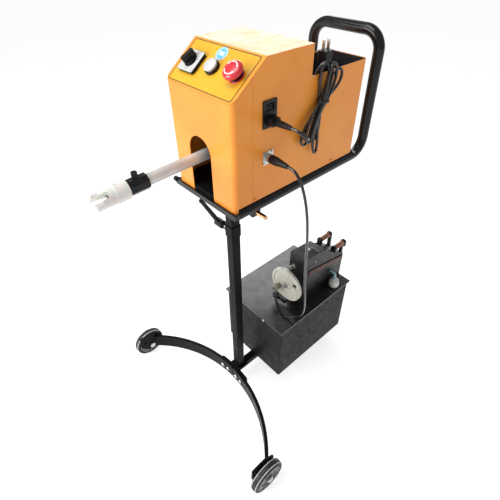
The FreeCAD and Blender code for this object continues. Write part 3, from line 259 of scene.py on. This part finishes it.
nylon = finish("milky_nylon", (0.78, 0.78, 0.755), 0.42, Subsurface_Weight=0.25, Subsurface_Scale=0.006)
drift(nylon, (0.70, 0.695, 0.66), 28.0)
uneven(nylon, 0.36, 0.52, 60.0)
grained(nylon, (260.0, 0.03, {"stretch": (1, 3, 1)}), (1500.0, 0.01, {}), edge=1.4)

red_plastic = finish("red_plastic", (0.62, 0.018, 0.030), 0.26, Coat_Weight=0.4)
drift(red_plastic, (0.58, 0.018, 0.030), 45.0)
uneven(red_plastic, 0.20, 0.34, 90.0)
grained(red_plastic, (1700.0, 0.008, {}), edge=0.5)

lead_rubber = finish("lead_sheath", (0.004, 0.004, 0.005), 0.24, Coat_Weight=0.3, Coat_Roughness=0.08)
drift(lead_rubber, (0.008, 0.008, 0.010), 140.0)
uneven(lead_rubber, 0.18, 0.32, 160.0)
grained(lead_rubber, (420.0, 0.02, {}), (2600.0, 0.006, {}))

tyre_rubber = finish("tyre_rubber", (0.007, 0.007, 0.0075), 0.55)
drift(tyre_rubber, (0.014, 0.0135, 0.0135), 45.0)
uneven(tyre_rubber, 0.46, 0.68, 110.0)
grained(tyre_rubber, (1900.0, 0.03, {}))

# Pale rings on the tyres: the shoulder rings are painted highlights on the tread's edge, and the flank rings are
# pale lines.
tyre_line_and_highlight = finish("tyre_line_and_highlight", (0.70, 0.70, 0.68), 0.4)
drift(tyre_line_and_highlight, (0.52, 0.52, 0.50), 150.0)
uneven(tyre_line_and_highlight, 0.42, 0.6, 200.0)
grained(tyre_line_and_highlight, (1500.0, 0.02, {}))

hub_grey = finish("hub_grey", (0.095, 0.112, 0.106), 0.36, 0.35)
drift(hub_grey, (0.16, 0.185, 0.175), 60.0)
uneven(hub_grey, 0.26, 0.48, 80.0)
grained(hub_grey, (1200.0, 0.02, {}), edge=0.6)

zinc = finish("zinc_steel", (0.62, 0.62, 0.60), 0.30, 1.0)
drift(zinc, (0.50, 0.50, 0.50), 160.0)
uneven(zinc, 0.22, 0.42, 220.0)
grained(zinc, (1500.0, 0.01, {}), edge=0.3)

drawn_tube = finish("drawn_tube", (0.62, 0.62, 0.605), 0.30, 0.3)
drift(drawn_tube, (0.53, 0.53, 0.515), 20.0)
uneven(drawn_tube, 0.30, 0.46, 90.0, stretch=(6, 0.4, 6))
grained(drawn_tube, (1600.0, 0.006, {"stretch": (1, 0.03, 1)}), edge=0.4)

brass = finish("brass_pin", (0.72, 0.40, 0.20), 0.32, 1.0)
drift(brass, (0.58, 0.30, 0.14), 90.0)
uneven(brass, 0.26, 0.42, 150.0)
grained(brass, (1300.0, 0.012, {}), edge=0.4)

rose_copper = finish("rose_copper", (0.40, 0.185, 0.13), 0.38, 0.55)
drift(rose_copper, (0.26, 0.11, 0.08), 70.0)
uneven(rose_copper, 0.30, 0.5, 120.0)
grained(rose_copper, (900.0, 0.02, {}), edge=0.6)

brown_strip = finish("brown_strip", (0.060, 0.020, 0.016), 0.42, 0.3)
drift(brown_strip, (0.11, 0.034, 0.025), 30.0)
uneven(brown_strip, 0.34, 0.55, 70.0)
grained(brown_strip, (700.0, 0.03, {}), edge=0.5)

cream_enamel = finish("cream_enamel", (0.575, 0.56, 0.49), 0.30, Coat_Weight=0.3)
drift(cream_enamel, (0.475, 0.46, 0.39), 24.0)
uneven(cream_enamel, 0.24, 0.40, 70.0)
grained(cream_enamel, (700.0, 0.012, {}), edge=0.9)

knob_brown = finish("knob_brown", (0.20, 0.165, 0.125), 0.34)
drift(knob_brown, (0.30, 0.27, 0.225), 60.0)
uneven(knob_brown, 0.26, 0.42, 90.0)
grained(knob_brown, (900.0, 0.012, {}), edge=0.6)

rib_grey = finish("rib_grey", (0.17, 0.18, 0.185), 0.34, 0.6)
drift(rib_grey, (0.25, 0.26, 0.265), 60.0)
uneven(rib_grey, 0.26, 0.44, 110.0)
grained(rib_grey, (900.0, 0.015, {}), edge=0.6)

bulb_white = finish("bulb_white", (0.55, 0.54, 0.51), 0.18, Coat_Weight=0.5)
drift(bulb_white, (0.34, 0.29, 0.23), 45.0, low=0.5, high=0.75)
uneven(bulb_white, 0.14, 0.26, 90.0)
grained(bulb_white, (600.0, 0.01, {}))

stem_blue = finish("stem_blue", (0.30, 0.50, 0.52), 0.30)
drift(stem_blue, (0.22, 0.40, 0.43), 80.0)
uneven(stem_blue, 0.24, 0.38, 120.0)
grained(stem_blue, (1200.0, 0.008, {}))

dark_line = finish("dark_print", (0.020, 0.017, 0.012), 0.45)
grey_print = finish("grey_print", (0.34, 0.27, 0.12), 0.45)
white_print = finish("white_print", (0.86, 0.86, 0.85), 0.35)
blue_print = finish("blue_print", (0.10, 0.42, 0.78), 0.30, Coat_Weight=0.3)
red_print = finish("red_print", (0.55, 0.05, 0.08), 0.35)
board_green = finish("board_green", (0.03, 0.10, 0.05), 0.4)
for printed, shade in ((dark_line, (0.05, 0.045, 0.03)), (grey_print, (0.40, 0.33, 0.16)),
                       (white_print, (0.78, 0.78, 0.77)), (blue_print, (0.13, 0.47, 0.82)),
                       (red_print, (0.62, 0.09, 0.10)), (board_green, (0.05, 0.14, 0.07))):
    drift(printed, shade, 120.0)
    uneven(printed, 0.30, 0.46, 150.0)
    grained(printed, (2400.0, 0.004, {}))
print("finishes:", len(SURFACES))

# %% [markdown]
# ## Dress the engineering parts
# A part whose shape is already right only needs its finish. Each name in the table is a node
# of the model, and its material slot is filled with one of the finishes above.

# %% Finishes on the engineering parts
DRESS = {
    paint: "front_cover main_body",
    tray_coat: "tray_tube tray_bars",
    stand_coat: "post clamp_collar front_arms base_beam floor_plate pressure_arm",
    lid_coat: "cabinet_lid",
    box_coat: "cabinet",
    lining: "recess_liner",
    head_coat: "head_housing roller_brackets",
    film: "panel_label",
    black_plastic: "switch_base switch_knob panel_collars inlet_socket rocker clamp_lever wire_spool "
                   "clamp_sleeve thumb_screw control_plug inlet_plug wall_plug cord_foot rear_feet",
    white_plastic: "button_cap",
    red_plastic: "estop_stem estop_head",
    nylon: "nozzle",
    drawn_tube: "guide_tube",
    zinc: "case_screws stand_bolts control_socket drive_roll pressure_roll gearmotor drive_frame",
    brass: "cross_shaft",
    rose_copper: "roller_left roller_right",
    brown_strip: "copper_strip",
    rib_grey: "ribbed_plate handwheel_pins",
    cream_enamel: "handwheel",
    knob_brown: "crank_knob",
    stem_blue: "oil_bowl",
    hub_grey: "hub_left hub_right",
    tyre_rubber: "tyre_left tyre_right",
    board_green: "electronics",
    lead_rubber: "control_lead mains_lead mains_hank mains_tail",
}
for surface, names in DRESS.items():
    for name in names.split():
        nodes[name].data.materials.clear()
        nodes[name].data.materials.append(surface)
print("dressed:", sum(len(names.split()) for names in DRESS.values()), "of", len(nodes))

# %% [markdown]
# ## The leads
# A lead is a smooth tube along one line. The line is a NURBS spline whose control points are
# the route: the curve pulls inside each corner, as a springy lead does. The order and the end
# points are set after the points are added, or Blender leaves the spline as straight runs.


# %% A lead as one spline
def spline_piece(name, points, thickness, surface, body, sides=6):
    """A round bar of that thickness along a smooth line of control points, in metres."""
    curve = bpy.data.curves.new(name, "CURVE")
    curve.dimensions = "3D"
    curve.resolution_u, curve.bevel_depth, curve.bevel_resolution = 10, thickness / 2, sides
    curve.use_fill_caps = True
    line = curve.splines.new("NURBS")
    line.points.add(len(points) - 1)
    for knot, place in zip(line.points, points):
        knot.co = (*place, 1.0)
    line.order_u = 3
    line.use_endpoint_u = True
    piece = bpy.data.objects.new(name, curve)
    bpy.context.scene.collection.objects.link(piece)
    curve.materials.append(surface)
    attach(piece, body)
    print(name, "has", len(points), "control points and is", round(line.calc_length(), 3), "m long")
    return piece


CONTROL_LEAD_THICK = 6.0 * MM
control_route = from_tray([
    (153.6, 86.4, 91), (165.6, 86.4, 91), (176, 86.8, 86), (187, 87.6, 74), (196, 89, 54), (203, 91, 28),
    (207, 93, 2), (208.5, 96, -24), (206, 104, -70), (200, 114, -120), (192, 126, -172), (187, 137, -222),
    (183, 148, -274), (178, 160, -324), (169, 174, -372), (155, 187, -416), (137, 196, -452),
    (118, 196, -470.7), (98, 190, -484.2), (78, 190, -486.4), (60, 196, -486.7), (45, 205, -486.1),
    (28.55, 212.48, -484.5), (18.44, 222.16, -484.5)])
control_cord = spline_piece("control_cord", control_route, CONTROL_LEAD_THICK, lead_rubber, "frame")
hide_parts("control_lead")

# %% [markdown]
# ## The tied mains lead
# The mains lead leaves its plug in the side of the case, falls in a short arc and runs into a
# bundle: seven passes between folds that fan out above and below a wire tie. The last pass
# climbs over the case's wall to the wall plug in the recess. It is one spline, so its length is
# real: each row of the list below is one pass, read upwards or downwards, with its fold.

# %% Mains lead, bundle and all
MAINS_THICK = 6.0 * MM
mains_route = from_tray([
    (155, 88, 167), (168, 88, 167), (178, 91.5, 162.5), (184, 98, 155), (181, 107, 149), (172, 117, 144),
    (159, 129, 138), (146, 141, 131), (133, 153, 123), (121, 165, 114), (112, 178, 105),
    (105.5, 190, 95), (104, 203, 86), (104, 216, 84), (104, 227, 90), (104, 232, 104),
    # first pass, up the right side
    (104.2, 232.5, 124), (104.4, 232, 147), (104.4, 234, 169), (104.8, 241, 188), (105.5, 251, 205),
    (107, 262, 218), (109, 272, 223), (111, 280, 217), (111.5, 280, 204), (111.5, 269, 190),
    # down into the left fold
    (111, 254, 180), (111, 240, 173), (110.5, 228, 165), (110, 208, 151), (110, 189, 136),
    (110.5, 176, 119), (111, 170, 104), (111, 173, 93), (111.5, 181, 89), (112, 189, 93), (112, 194, 104),
    # up to the middle fold
    (112, 198, 119), (112, 207, 138), (113, 216, 155), (116, 222.5, 171), (117, 227, 186),
    (117, 230, 204), (116.5, 232, 221), (116, 237, 234), (115.5, 245, 239),
    (115.5, 253, 234), (116, 256, 221),
    # down the long right fold
    (117, 252, 204), (117.4, 244, 187), (116, 235, 170), (112, 226, 153), (111, 217, 134),
    (111, 211, 113), (111, 208.5, 92), (111.5, 210, 74), (111.5, 214, 63), (111, 220, 58), (110, 225, 64),
    (109.5, 226, 77),
    # up to the left fold at the top
    (109, 225.5, 96), (107, 224.5, 116), (105.2, 224, 137), (104.4, 224, 154), (104.4, 225, 170),
    (104.6, 223, 188), (105, 220, 206), (106, 219, 222), (107, 222, 235), (108.5, 229, 240),
    (110, 236, 235), (110.6, 238, 222),
    # down into the outer left fold
    (111, 236, 205), (111, 229.5, 188), (111, 221, 172), (112, 207, 157), (114, 192, 142),
    (116.5, 181, 126), (117.6, 176, 111), (118, 179, 99), (118, 186, 94), (118, 192, 99), (118, 196, 112),
    # last pass up, over the wall and to the plug
    (118, 201, 128), (118.2, 208, 145), (118, 217, 160), (118, 226.5, 172), (118, 233, 189),
    (117, 240, 206), (113, 246, 221), (109, 248, 232), (104.5, 245, 239), (99.5, 238, 238),
    (95, 230, 231), (91.3, 221, 218), (90, 215, 200), (89.5, 215.5, 181), (88.5, 222.5, 166),
    (86, 234, 158), (82.5, 247, 159), (79, 257, 168), (78, 262, 181), (78, 262, 196.2)])
mains_cord = spline_piece("mains_cord", mains_route, MAINS_THICK, lead_rubber, "frame")
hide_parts("mains_lead", "mains_hank", "mains_tail")

# %% [markdown]
# The tie is a coated wire wound nearly twice round the waist of the bundle, with its two ends
# twisted outwards. It is a spline too, along an ellipse that tilts with the bundle.

# %% Wire tie
TIE_THICK = 2.2 * MM
waist = Vector((111.2, 228.0, 170.0))
lean = Vector((0, 0.169, 0.986))
beside = Vector((0, -0.986, 0.169))
tie_points = []
for step in range(31):
    turn = 2 * math.pi * step / 16 - 0.6
    tie_points.append(waist + beside * (14.6 * math.cos(turn)) + Vector((1, 0, 0)) * (11.4 * math.sin(turn))
                      + lean * (0.16 * step - 2.4))
tie_end = tie_points[-1]
tie_points += [tie_end + Vector(twist) for twist in ((2.5, 2.5, -3), (5.5, 1.0, -6), (5, -2.5, -9))]
cord_tie = spline_piece("cord_tie", from_tray(tie_points), TIE_THICK, lead_rubber, "frame", sides=3)


# %% [markdown]
# ## Two ways to make a small piece
# A turned piece is a profile spun about an axis; a plate is an outline with a thickness. Both
# are written straight into a mesh in the shared frame, so the finished object sits at the
# origin unturned. `attach` hangs it on the body it belongs to, and it then moves with that joint.


# %% Mesh makers
def settle(name, mesh, surface, body, smooth=40):
    """Link a mesh as a finished piece: normals outward, smooth below that many degrees."""
    work = bmesh.new()
    work.from_mesh(mesh)
    bmesh.ops.recalc_face_normals(work, faces=work.faces)
    for face in work.faces:
        face.smooth = True
    for edge in work.edges:
        edge.smooth = len(edge.link_faces) != 2 or edge.calc_face_angle(0) < math.radians(smooth)
    work.to_mesh(mesh)
    work.free()
    piece = bpy.data.objects.new(name, mesh)
    bpy.context.scene.collection.objects.link(piece)
    mesh.materials.clear()
    mesh.materials.append(surface)
    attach(piece, body)
    return piece


def frame_of(place, axis, side=Vector((0, 0, 1))):
    """A 4x4 placement whose Z runs along `axis` and whose X leans towards `side`."""
    z = Vector(axis).normalized()
    x = (Vector(side) - z * z.dot(Vector(side))).normalized()
    return Matrix.Translation(place) @ Matrix((x, z.cross(x), z)).transposed().to_4x4()


def turned_mesh(name, profile, place, start=0, sweep=360, steps=64):
    """Spin (radius, height) pairs in mm about the placement's Z axis."""
    whole = sweep == 360
    rows = steps if whole else steps + 1
    points, faces = [], []
    for row in range(rows):
        a = math.radians(start + sweep * row / steps)
        points += [place @ Vector((r * math.cos(a) * MM, r * math.sin(a) * MM, h * MM)) for r, h in profile]
    many = len(profile)
    for row in range(steps):
        left, right = row * many, ((row + 1) % rows) * many
        for k in range(many):
            nxt = (k + 1) % many
            faces.append((left + k, right + k, right + nxt, left + nxt))
    if not whole:
        faces += [tuple(range(many)), tuple(range((rows - 1) * many, rows * many))]
    mesh = bpy.data.meshes.new(name)
    mesh.from_pydata(points, [], faces)
    work = bmesh.new()
    work.from_mesh(mesh)
    bmesh.ops.remove_doubles(work, verts=work.verts, dist=1e-6)
    bmesh.ops.dissolve_degenerate(work, dist=1e-7, edges=work.edges)
    work.to_mesh(mesh)
    work.free()
    return mesh


def turned(name, profile, place, surface, body, slot, **how):
    return settle(name, turned_mesh(name, profile, place, **how), surface, body)


def plate(name, outline, low, high, place, surface, body, hole=None):
    """A flat plate from (x, y) pairs in mm between two heights; `hole` is a second outline."""
    ring = hole or []
    points = [place @ (Vector((x, y, z)) * MM) for z in (low, high) for x, y in outline + ring]
    n, whole = len(outline), len(outline) + len(ring)
    faces = [(k, (k + 1) % n, whole + (k + 1) % n, whole + k) for k in range(n)]
    if ring:
        for k in range(n):
            nxt = (k + 1) % n
            faces.append((n + k, n + nxt, whole + n + nxt, whole + n + k))
            faces += [(k, nxt, n + nxt, n + k), (whole + k, whole + nxt, whole + n + nxt, whole + n + k)]
    else:
        faces += [tuple(range(n)), tuple(range(whole, whole + n))]
    mesh = bpy.data.meshes.new(name)
    mesh.from_pydata(points, [], faces)
    return settle(name, mesh, surface, body)


def rounded(width, height, corner, mid=(0, 0), steps=8):
    """Outline of a rectangle with round corners, in mm."""
    line = []
    for quarter, (sx, sy) in enumerate(((1, 1), (-1, 1), (-1, -1), (1, -1))):
        for step in range(steps + 1):
            a = math.radians(90 * quarter + 90 * step / steps)
            line.append((mid[0] + sx * (width / 2 - corner) + corner * math.cos(a),
                         mid[1] + sy * (height / 2 - corner) + corner * math.sin(a)))
    return line


def circle(radius, mid=(0, 0), count=36):
    """Outline of a circle, starting at the same corner as `rounded`."""
    return [(mid[0] + radius * math.cos(2 * math.pi * (k + 0.5) / count),
             mid[1] + radius * math.sin(2 * math.pi * (k + 0.5) / count)) for k in range(count)]


print("mesh makers ready")

# %% [markdown]
# ## Rows of small things
# Ribs, ticks, dashes and beads all repeat. Two node trees place them: one along an arc and one
# along a straight line. The inputs have names, and the result is turned into a plain mesh at
# once, so nothing live is left in the file.


# %% Node trees for rows
def row_tree(name, round_row):
    """A tree that copies a piece along an arc (`round_row`) or along a line."""
    tree = bpy.data.node_groups.new(name, "GeometryNodeTree")
    tree.interface.new_socket("Geometry", in_out="INPUT", socket_type="NodeSocketGeometry")
    tree.interface.new_socket("Geometry", in_out="OUTPUT", socket_type="NodeSocketGeometry")
    for label, kind in (("Piece", "Object"), ("Surface", "Material"), ("Count", "Int"), ("Reach", "Float"),
                        ("Start", "Float"), ("Sweep", "Float")):
        tree.interface.new_socket(label, in_out="INPUT", socket_type="NodeSocket" + kind)
    make, link = tree.nodes.new, tree.links.new
    given, result, take = make("NodeGroupInput"), make("NodeGroupOutput"), make("GeometryNodeObjectInfo")
    copies, solid, coat = (make("GeometryNode" + kind) for kind in (
        "InstanceOnPoints", "RealizeInstances", "SetMaterial"))
    link(given.outputs["Piece"], take.inputs["Object"])
    link(take.outputs["Geometry"], copies.inputs["Instance"])
    if round_row:
        arc, dots = make("GeometryNodeCurveArc"), make("GeometryNodeCurveToPoints")
        link(given.outputs["Count"], arc.inputs["Resolution"])
        link(given.outputs["Reach"], arc.inputs["Radius"])
        link(given.outputs["Start"], arc.inputs["Start Angle"])
        link(given.outputs["Sweep"], arc.inputs["Sweep Angle"])
        dots.mode = "EVALUATED"
        link(arc.outputs["Curve"], dots.inputs["Curve"])
        link(dots.outputs["Points"], copies.inputs["Points"])
        turn = make("FunctionNodeAlignRotationToVector")
        turn.axis = "X"
        spot = make("GeometryNodeInputPosition")
        link(spot.outputs[0], turn.inputs["Vector"])
        link(turn.outputs[0], copies.inputs["Rotation"])
    else:
        line, step = make("GeometryNodeMeshLine"), make("ShaderNodeCombineXYZ")
        line.mode = "END_POINTS"
        link(given.outputs["Reach"], step.inputs["X"])
        link(given.outputs["Count"], line.inputs["Count"])
        link(step.outputs[0], line.inputs["Offset"])
        link(line.outputs[0], copies.inputs["Points"])
    link(copies.outputs[0], solid.inputs[0])
    link(solid.outputs[0], coat.inputs[0])
    link(given.outputs["Surface"], coat.inputs["Material"])
    link(coat.outputs[0], result.inputs[0])
    return tree


ROUND_ROW, STRAIGHT_ROW = row_tree("round row", True), row_tree("straight row", False)


def row(name, tree, mesh, count, reach, place, surface, body, slot, start=0.0, sweep=360.0):
    """Copies of `mesh` in a row; reach is the radius or the length in mm, angles in degrees."""
    sample = bpy.data.objects.new(name + "_sample", mesh)
    host = bpy.data.objects.new(name + "_host", bpy.data.meshes.new(name + "_host"))
    for thing in (sample, host):
        bpy.context.scene.collection.objects.link(thing)
    live = host.modifiers.new("row", "NODES")
    live.node_group = tree
    values = {"Piece": sample, "Surface": surface, "Count": count, "Reach": reach * MM,
              "Start": math.radians(start), "Sweep": math.radians(sweep)}
    for item in tree.interface.items_tree:
        if item.item_type == "SOCKET" and item.in_out == "INPUT" and item.name in values:
            live[item.identifier] = values[item.name]
    graph = bpy.context.evaluated_depsgraph_get()
    made = bpy.data.meshes.new_from_object(host.evaluated_get(graph))
    made.transform(place)
    for thing in (sample, host):
        bpy.data.objects.remove(thing)
    return settle(name, made, surface, body)


def block(x, y, z, edge=0.0, at=(0, 0, 0)):
    """A small box of those sizes in mm, with its edges eased by `edge` mm."""
    mesh, work = bpy.data.meshes.new("block"), bmesh.new()
    bmesh.ops.create_cube(work, size=1.0)
    bmesh.ops.scale(work, vec=Vector((x, y, z)) * MM, verts=work.verts)
    if edge:
        bmesh.ops.bevel(work, geom=work.edges[:], offset=edge * MM, segments=2, affect="EDGES", profile=0.6)
    bmesh.ops.translate(work, vec=Vector(at) * MM, verts=work.verts)
    work.to_mesh(mesh)
    work.free()
    return mesh


def placed(mesh, place):
    mesh.transform(place)
    return mesh


print("rows:", ROUND_ROW.name, "and", STRAIGHT_ROW.name)

# %% [markdown]
# ## The control panel
# The panel slopes, so its details are drawn flat and then laid on it by one placement. That
# placement comes from the rotary switch's joint, whose axis is square to the panel.

# %% Panel placement
PHI = math.atan2(62, 80)
uphill = Vector((0, math.cos(PHI), math.sin(PHI)))
outward = Vector((0, -math.sin(PHI), math.cos(PHI)))
switch_at = Vector(joints["switch_turn"]["pos_m"])
PANEL = frame_of(switch_at + Vector((54.5, 0, 0)) * MM - uphill * 47.0 * MM, outward, (1, 0, 0))
ESTOP = PANEL @ Matrix.Translation((68.0 * MM, 50.5 * MM, 0))
SWITCH = PANEL @ Matrix.Translation((-54.5 * MM, 47.0 * MM, 0))
BUTTON = PANEL @ Matrix.Translation((2.5 * MM, 50.0 * MM, 0))
print("panel origin", [round(v, 4) for v in PANEL.translation])

# %% [markdown]
# A dark hairline runs round the film. The switch has a white plate with small ticks, and the
# round sticker above the button is plain blue with four light bars.

# %% Panel details
plate("panel_border", rounded(184.4, 94.4, 4.6, (0, 50)), 0.3, 0.55, PANEL, dark_line, "frame",
      hole=rounded(181.2, 91.2, 3.2, (0, 50)))
plate("switch_plate", rounded(45.2, 45.2, 2.6), 6.9, 7.65, SWITCH, white_plastic, "frame",
      hole=circle(13.35))
row("switch_ticks", ROUND_ROW, block(3.2, 0.9, 0.2, at=(0, 0, 7.7)), 9, 17.6, SWITCH, dark_line, "frame",
    "black_plastic", start=20, sweep=140)
STICKER_X, STICKER_Y = -0.6, 81.6
BARS_BACK = 5.5
STICKER = PANEL @ Matrix.Translation((STICKER_X * MM, STICKER_Y * MM, 0))
BARS = PANEL @ Matrix.Translation(((STICKER_X - BARS_BACK) * MM, STICKER_Y * MM, 0))
plate("round_sticker", circle(14.0, count=48), 0.35, 0.6, STICKER, blue_print, "frame")
row("sticker_bars", STRAIGHT_ROW, block(2.1, 8.6, 0.1, at=(0, 0, 0.66)), 4, 11.0, BARS, white_print, "frame",
    "label")
turned("sticker_rim", [(11.4, 0.58), (12.5, 0.58), (12.5, 0.68), (11.4, 0.68)], STICKER, white_print, "frame",
       "label")
for part, start, sweep, count in (("right", -8, 62, 13), ("low", -120, 52, 9)):
    row("dashes_" + part, ROUND_ROW, block(2.6, 1.1, 0.14, at=(0, 0, 0.43)), count, 22.4, ESTOP, grey_print,
        "frame", "label", start=start, sweep=sweep)
print("panel pieces laid")

# %% [markdown]
# The emergency stop is a mushroom with a soft edge, and two white arrows on its face show the
# way to release it. The button's cap is a low dome in a dark collar.

# %% Emergency stop, button and switch knob
estop = turned("estop_mushroom", [(0, 12.1), (8.9, 12.1), (9.1, 7.9), (12.9, 7.9), (13.9, 8.6), (14.8, 10.1),
                                  (17.9, 10.9), (18.7, 11.7), (19.0, 13.2), (19.0, 15.8), (18.5, 17.9),
                                  (17.2, 19.6), (14.8, 20.9), (11.4, 21.8), (5.7, 22.3), (0, 22.45)],
               ESTOP, red_plastic, "stop_head", "red", steps=96)
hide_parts("estop_head")
for side, start in (("a", 20), ("b", 200)):
    band = [(11.5, 21.5), (13.3, 21.0), (13.3, 21.55), (11.5, 22.0)]
    turned("estop_arrow_" + side, band, ESTOP, white_print, "stop_head", "red", start=start, sweep=122, steps=24)
    tip = math.radians(start + 122)
    aim = Vector((math.cos(tip), math.sin(tip)))
    ahead = Vector((-aim.y, aim.x))
    corners = [aim * 10.2, aim * 14.6, aim * 12.4 + ahead * 4.2]
    plate("estop_point_" + side, [tuple(c) for c in corners], 20.4, 22.15, ESTOP, white_print, "stop_head")
cap = turned("button_dome", [(0, 12.2), (5.0, 12.1), (9.0, 11.85), (12.4, 11.2), (13.5, 10.7), (13.9, 10.0),
                             (13.9, 9.4), (12.5, 9.3), (12.5, 5.0), (7.9, 5.0), (7.9, -18.0), (0, -18.0)][::-1],
             BUTTON, white_plastic, "push_button", "white_plastic", steps=72)
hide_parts("button_cap")
turned("estop_skirt", [(13.7, 0.4), (15.2, 0.4), (15.2, 1.7), (14.7, 2.2), (13.7, 2.4)],
       ESTOP, red_plastic, "frame", "red")
print("estop and button replaced")

# %% [markdown]
# ## Wheels
# Each tyre has a rounded tread and one thin pale ring on each shoulder, which is a painted highlight
# where the light catches the tread. It also has one thin pale line on each flank. The hub keeps its
# engineering shape, a dished disc. Both turn with the wheel's joint.

# %% Wheels
for side in ("left", "right"):
    low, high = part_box("tyre_" + side)
    half, middle = (high.x - low.x) / 2 / MM, (low + high) / 2
    rim = (high.z - low.z) / 2 / MM
    place = frame_of(middle, (1, 0, 0))
    tread = [(rim - 16.5, half - 1.2), (rim - 9.0, half - 0.1), (rim - 5.0, half - 0.8),
             (rim - 2.0, half - 3.4), (rim - 0.5, half - 7.0), (rim, half - 10.5)]
    profile = tread + [(r, -h) for r, h in tread[::-1]]
    tyre = turned("tyre_round_" + side, profile, place, tyre_rubber, "wheel_" + side, "tyre", steps=128)
    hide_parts("tyre_" + side)
    for face in (1, -1):
        # The shoulder ring is a painted highlight: a pale band where the light catches the tread.
        shoulder = [(rim - 3.0, half - 6.3), (rim - 0.6, half - 6.3), (rim - 1.35, half - 4.3),
                    (rim - 3.0, half - 4.3)]
        flank = [(rim - 14.8, half - 1.25), (rim - 13.9, half - 1.25), (rim - 13.9, half - 0.73),
                 (rim - 14.8, half - 0.73)]
        for k, line in enumerate((shoulder, flank)):
            turned("tyre_line_%s_%d_%d" % (side, face, k), [(r, face * h) for r, h in line], place, tyre_line_and_highlight,
                   "wheel_" + side, "tyre", steps=96)
print("wheels done")

# %% [markdown]
# ## Small fittings
# The wall plug ends in two bright prongs, painted screws hold the case, and one bright screw
# holds the handle's bend. That screw finds the tube's own surface, so it sits square on it. On
# the lower head are a round sticker, a small oval badge and a white oil bulb, which is turned
# from one smooth profile over the plainer engineering shape.

# %% Prongs, screws, badges and bulb
ON_TRAY = Matrix.Translation(TRAY)
PLUG_X, PLUG_Y, PRONG_Z, PRONG_APART = 78, 262, 261.1, 7.4
CASE_HALF, SCREW_UP, SCREWS_ALONG = 100, 8, (52, 300)
for side, name in ((-1, "near"), (1, "far")):
    prong = block(6.7, 1.9, 18.4, 0.4, (PLUG_X, PLUG_Y + PRONG_APART * side, PRONG_Z))
    settle("plug_prong_" + name, placed(prong, ON_TRAY), zinc, "frame")
for side in (-1, 1):
    for along in SCREWS_ALONG:
        turned("side_screw_%s_%d" % ("left" if side < 0 else "right", along),
               [(0, -0.5), (3.8, -0.5), (3.8, 1.5), (2.2, 2.75), (0, 2.95)],
               frame_of(from_tray([(CASE_HALF * side, along, SCREW_UP)])[0], (side, 0, 0)), paint, "frame",
               "orange", steps=24)
found, spot, square_to, _ = nodes["tray_tube"].closest_point_on_mesh(from_tray([(108, 391, 10)])[0])
turned("handle_screw", [(0, -0.6), (4.0, -0.6), (4.0, 1.0), (2.6, 2.1), (0, 2.4)],
       frame_of(spot, square_to), zinc, "frame", "steel")
HEAD_SLOPE = math.atan2(9.0, 86.0)
head_up = (0, math.sin(HEAD_SLOPE), math.cos(HEAD_SLOPE))
head_top = frame_of(from_tray([(52, 317, -311.4)])[0], head_up, (1, 0, 0))
plate("head_sticker", circle(7.0), 0.05, 0.3, head_top, white_print, "frame")
turned("head_sticker_ring", [(4.0, 0.25), (5.6, 0.25), (5.6, 0.4), (4.0, 0.4)], head_top, red_print,
       "frame", "label")
head_side = frame_of(from_tray([(85, 318, -342)])[0], (1, 0, 0))
plate("head_badge", [(1.6 * x, y) for x, y in circle(3.2)], 0.0, 0.5, head_side, rib_grey, "frame")
turned("oil_bulb", [(0, 0.2), (11.4, 0.2), (13.4, 2.0), (15.9, 5.4), (17.1, 9.5), (17.5, 14.0), (17.3, 18.0),
                    (16.4, 22.5), (14.7, 27.6), (12.0, 31.2), (9.2, 33.4), (7.5, 34.6),
                    (7.4, 37.3), (0, 37.3)],
       frame_of(from_tray([(106, 404, -490)])[0], (0, 0, 1), (1, 0, 0)), bulb_white, "frame", "white_plastic")
print("small fittings placed")

# %% [markdown]
# ## Floor and light
# The machine stands on a pale sheet that runs far past the edge of the view. A soft overhead
# light makes the short shadow near the stand, a front light fills the case's face, and a panel
# behind the machine gives the glossy lid and the rails something bright to mirror.

# %% Floor and light
bpy.ops.mesh.primitive_plane_add(size=60)
floor = bpy.context.object
floor.name = "floor"
floor_white = finish("floor_white", (0.50, 0.50, 0.50), 0.8, Emission_Color=(1, 1, 1, 1),
                     Emission_Strength=0.74, Specular_IOR_Level=0.0)
drift(floor_white, (0.49, 0.49, 0.49), 2.0)
floor.data.materials.append(floor_white)

world = bpy.data.worlds.new("soft_sky")
bpy.context.scene.world = world
world.use_nodes = True
world.node_tree.nodes["Background"].inputs[0].default_value = (1.0, 1.0, 1.0, 1.0)
world.node_tree.nodes["Background"].inputs[1].default_value = 0.45


def soft_light(name, place, aim, size, watts):
    """A square area light at `place` that faces `aim`, both in metres."""
    lamp = bpy.data.lights.new(name, "AREA")
    lamp.size, lamp.energy = size, watts
    holder = bpy.data.objects.new(name, lamp)
    bpy.context.scene.collection.objects.link(holder)
    holder.matrix_world = Matrix.Translation(place) @ (
        Vector(aim) - Vector(place)).to_track_quat("-Z", "Y").to_matrix().to_4x4()
    return holder


soft_light("overhead", (-0.5, -0.9, 3.0), (0, 0, 0.6), 1.6, 43)
soft_light("front", (-0.9, -2.4, 1.4), (0, 0, 0.8), 1.4, 57)
soft_light("behind", (-1.0, 0.95, 1.30), (0.0, 0.1, 0.5), 0.8, 7)
bpy.context.scene.view_settings.view_transform = "Standard"
print("lights ready")
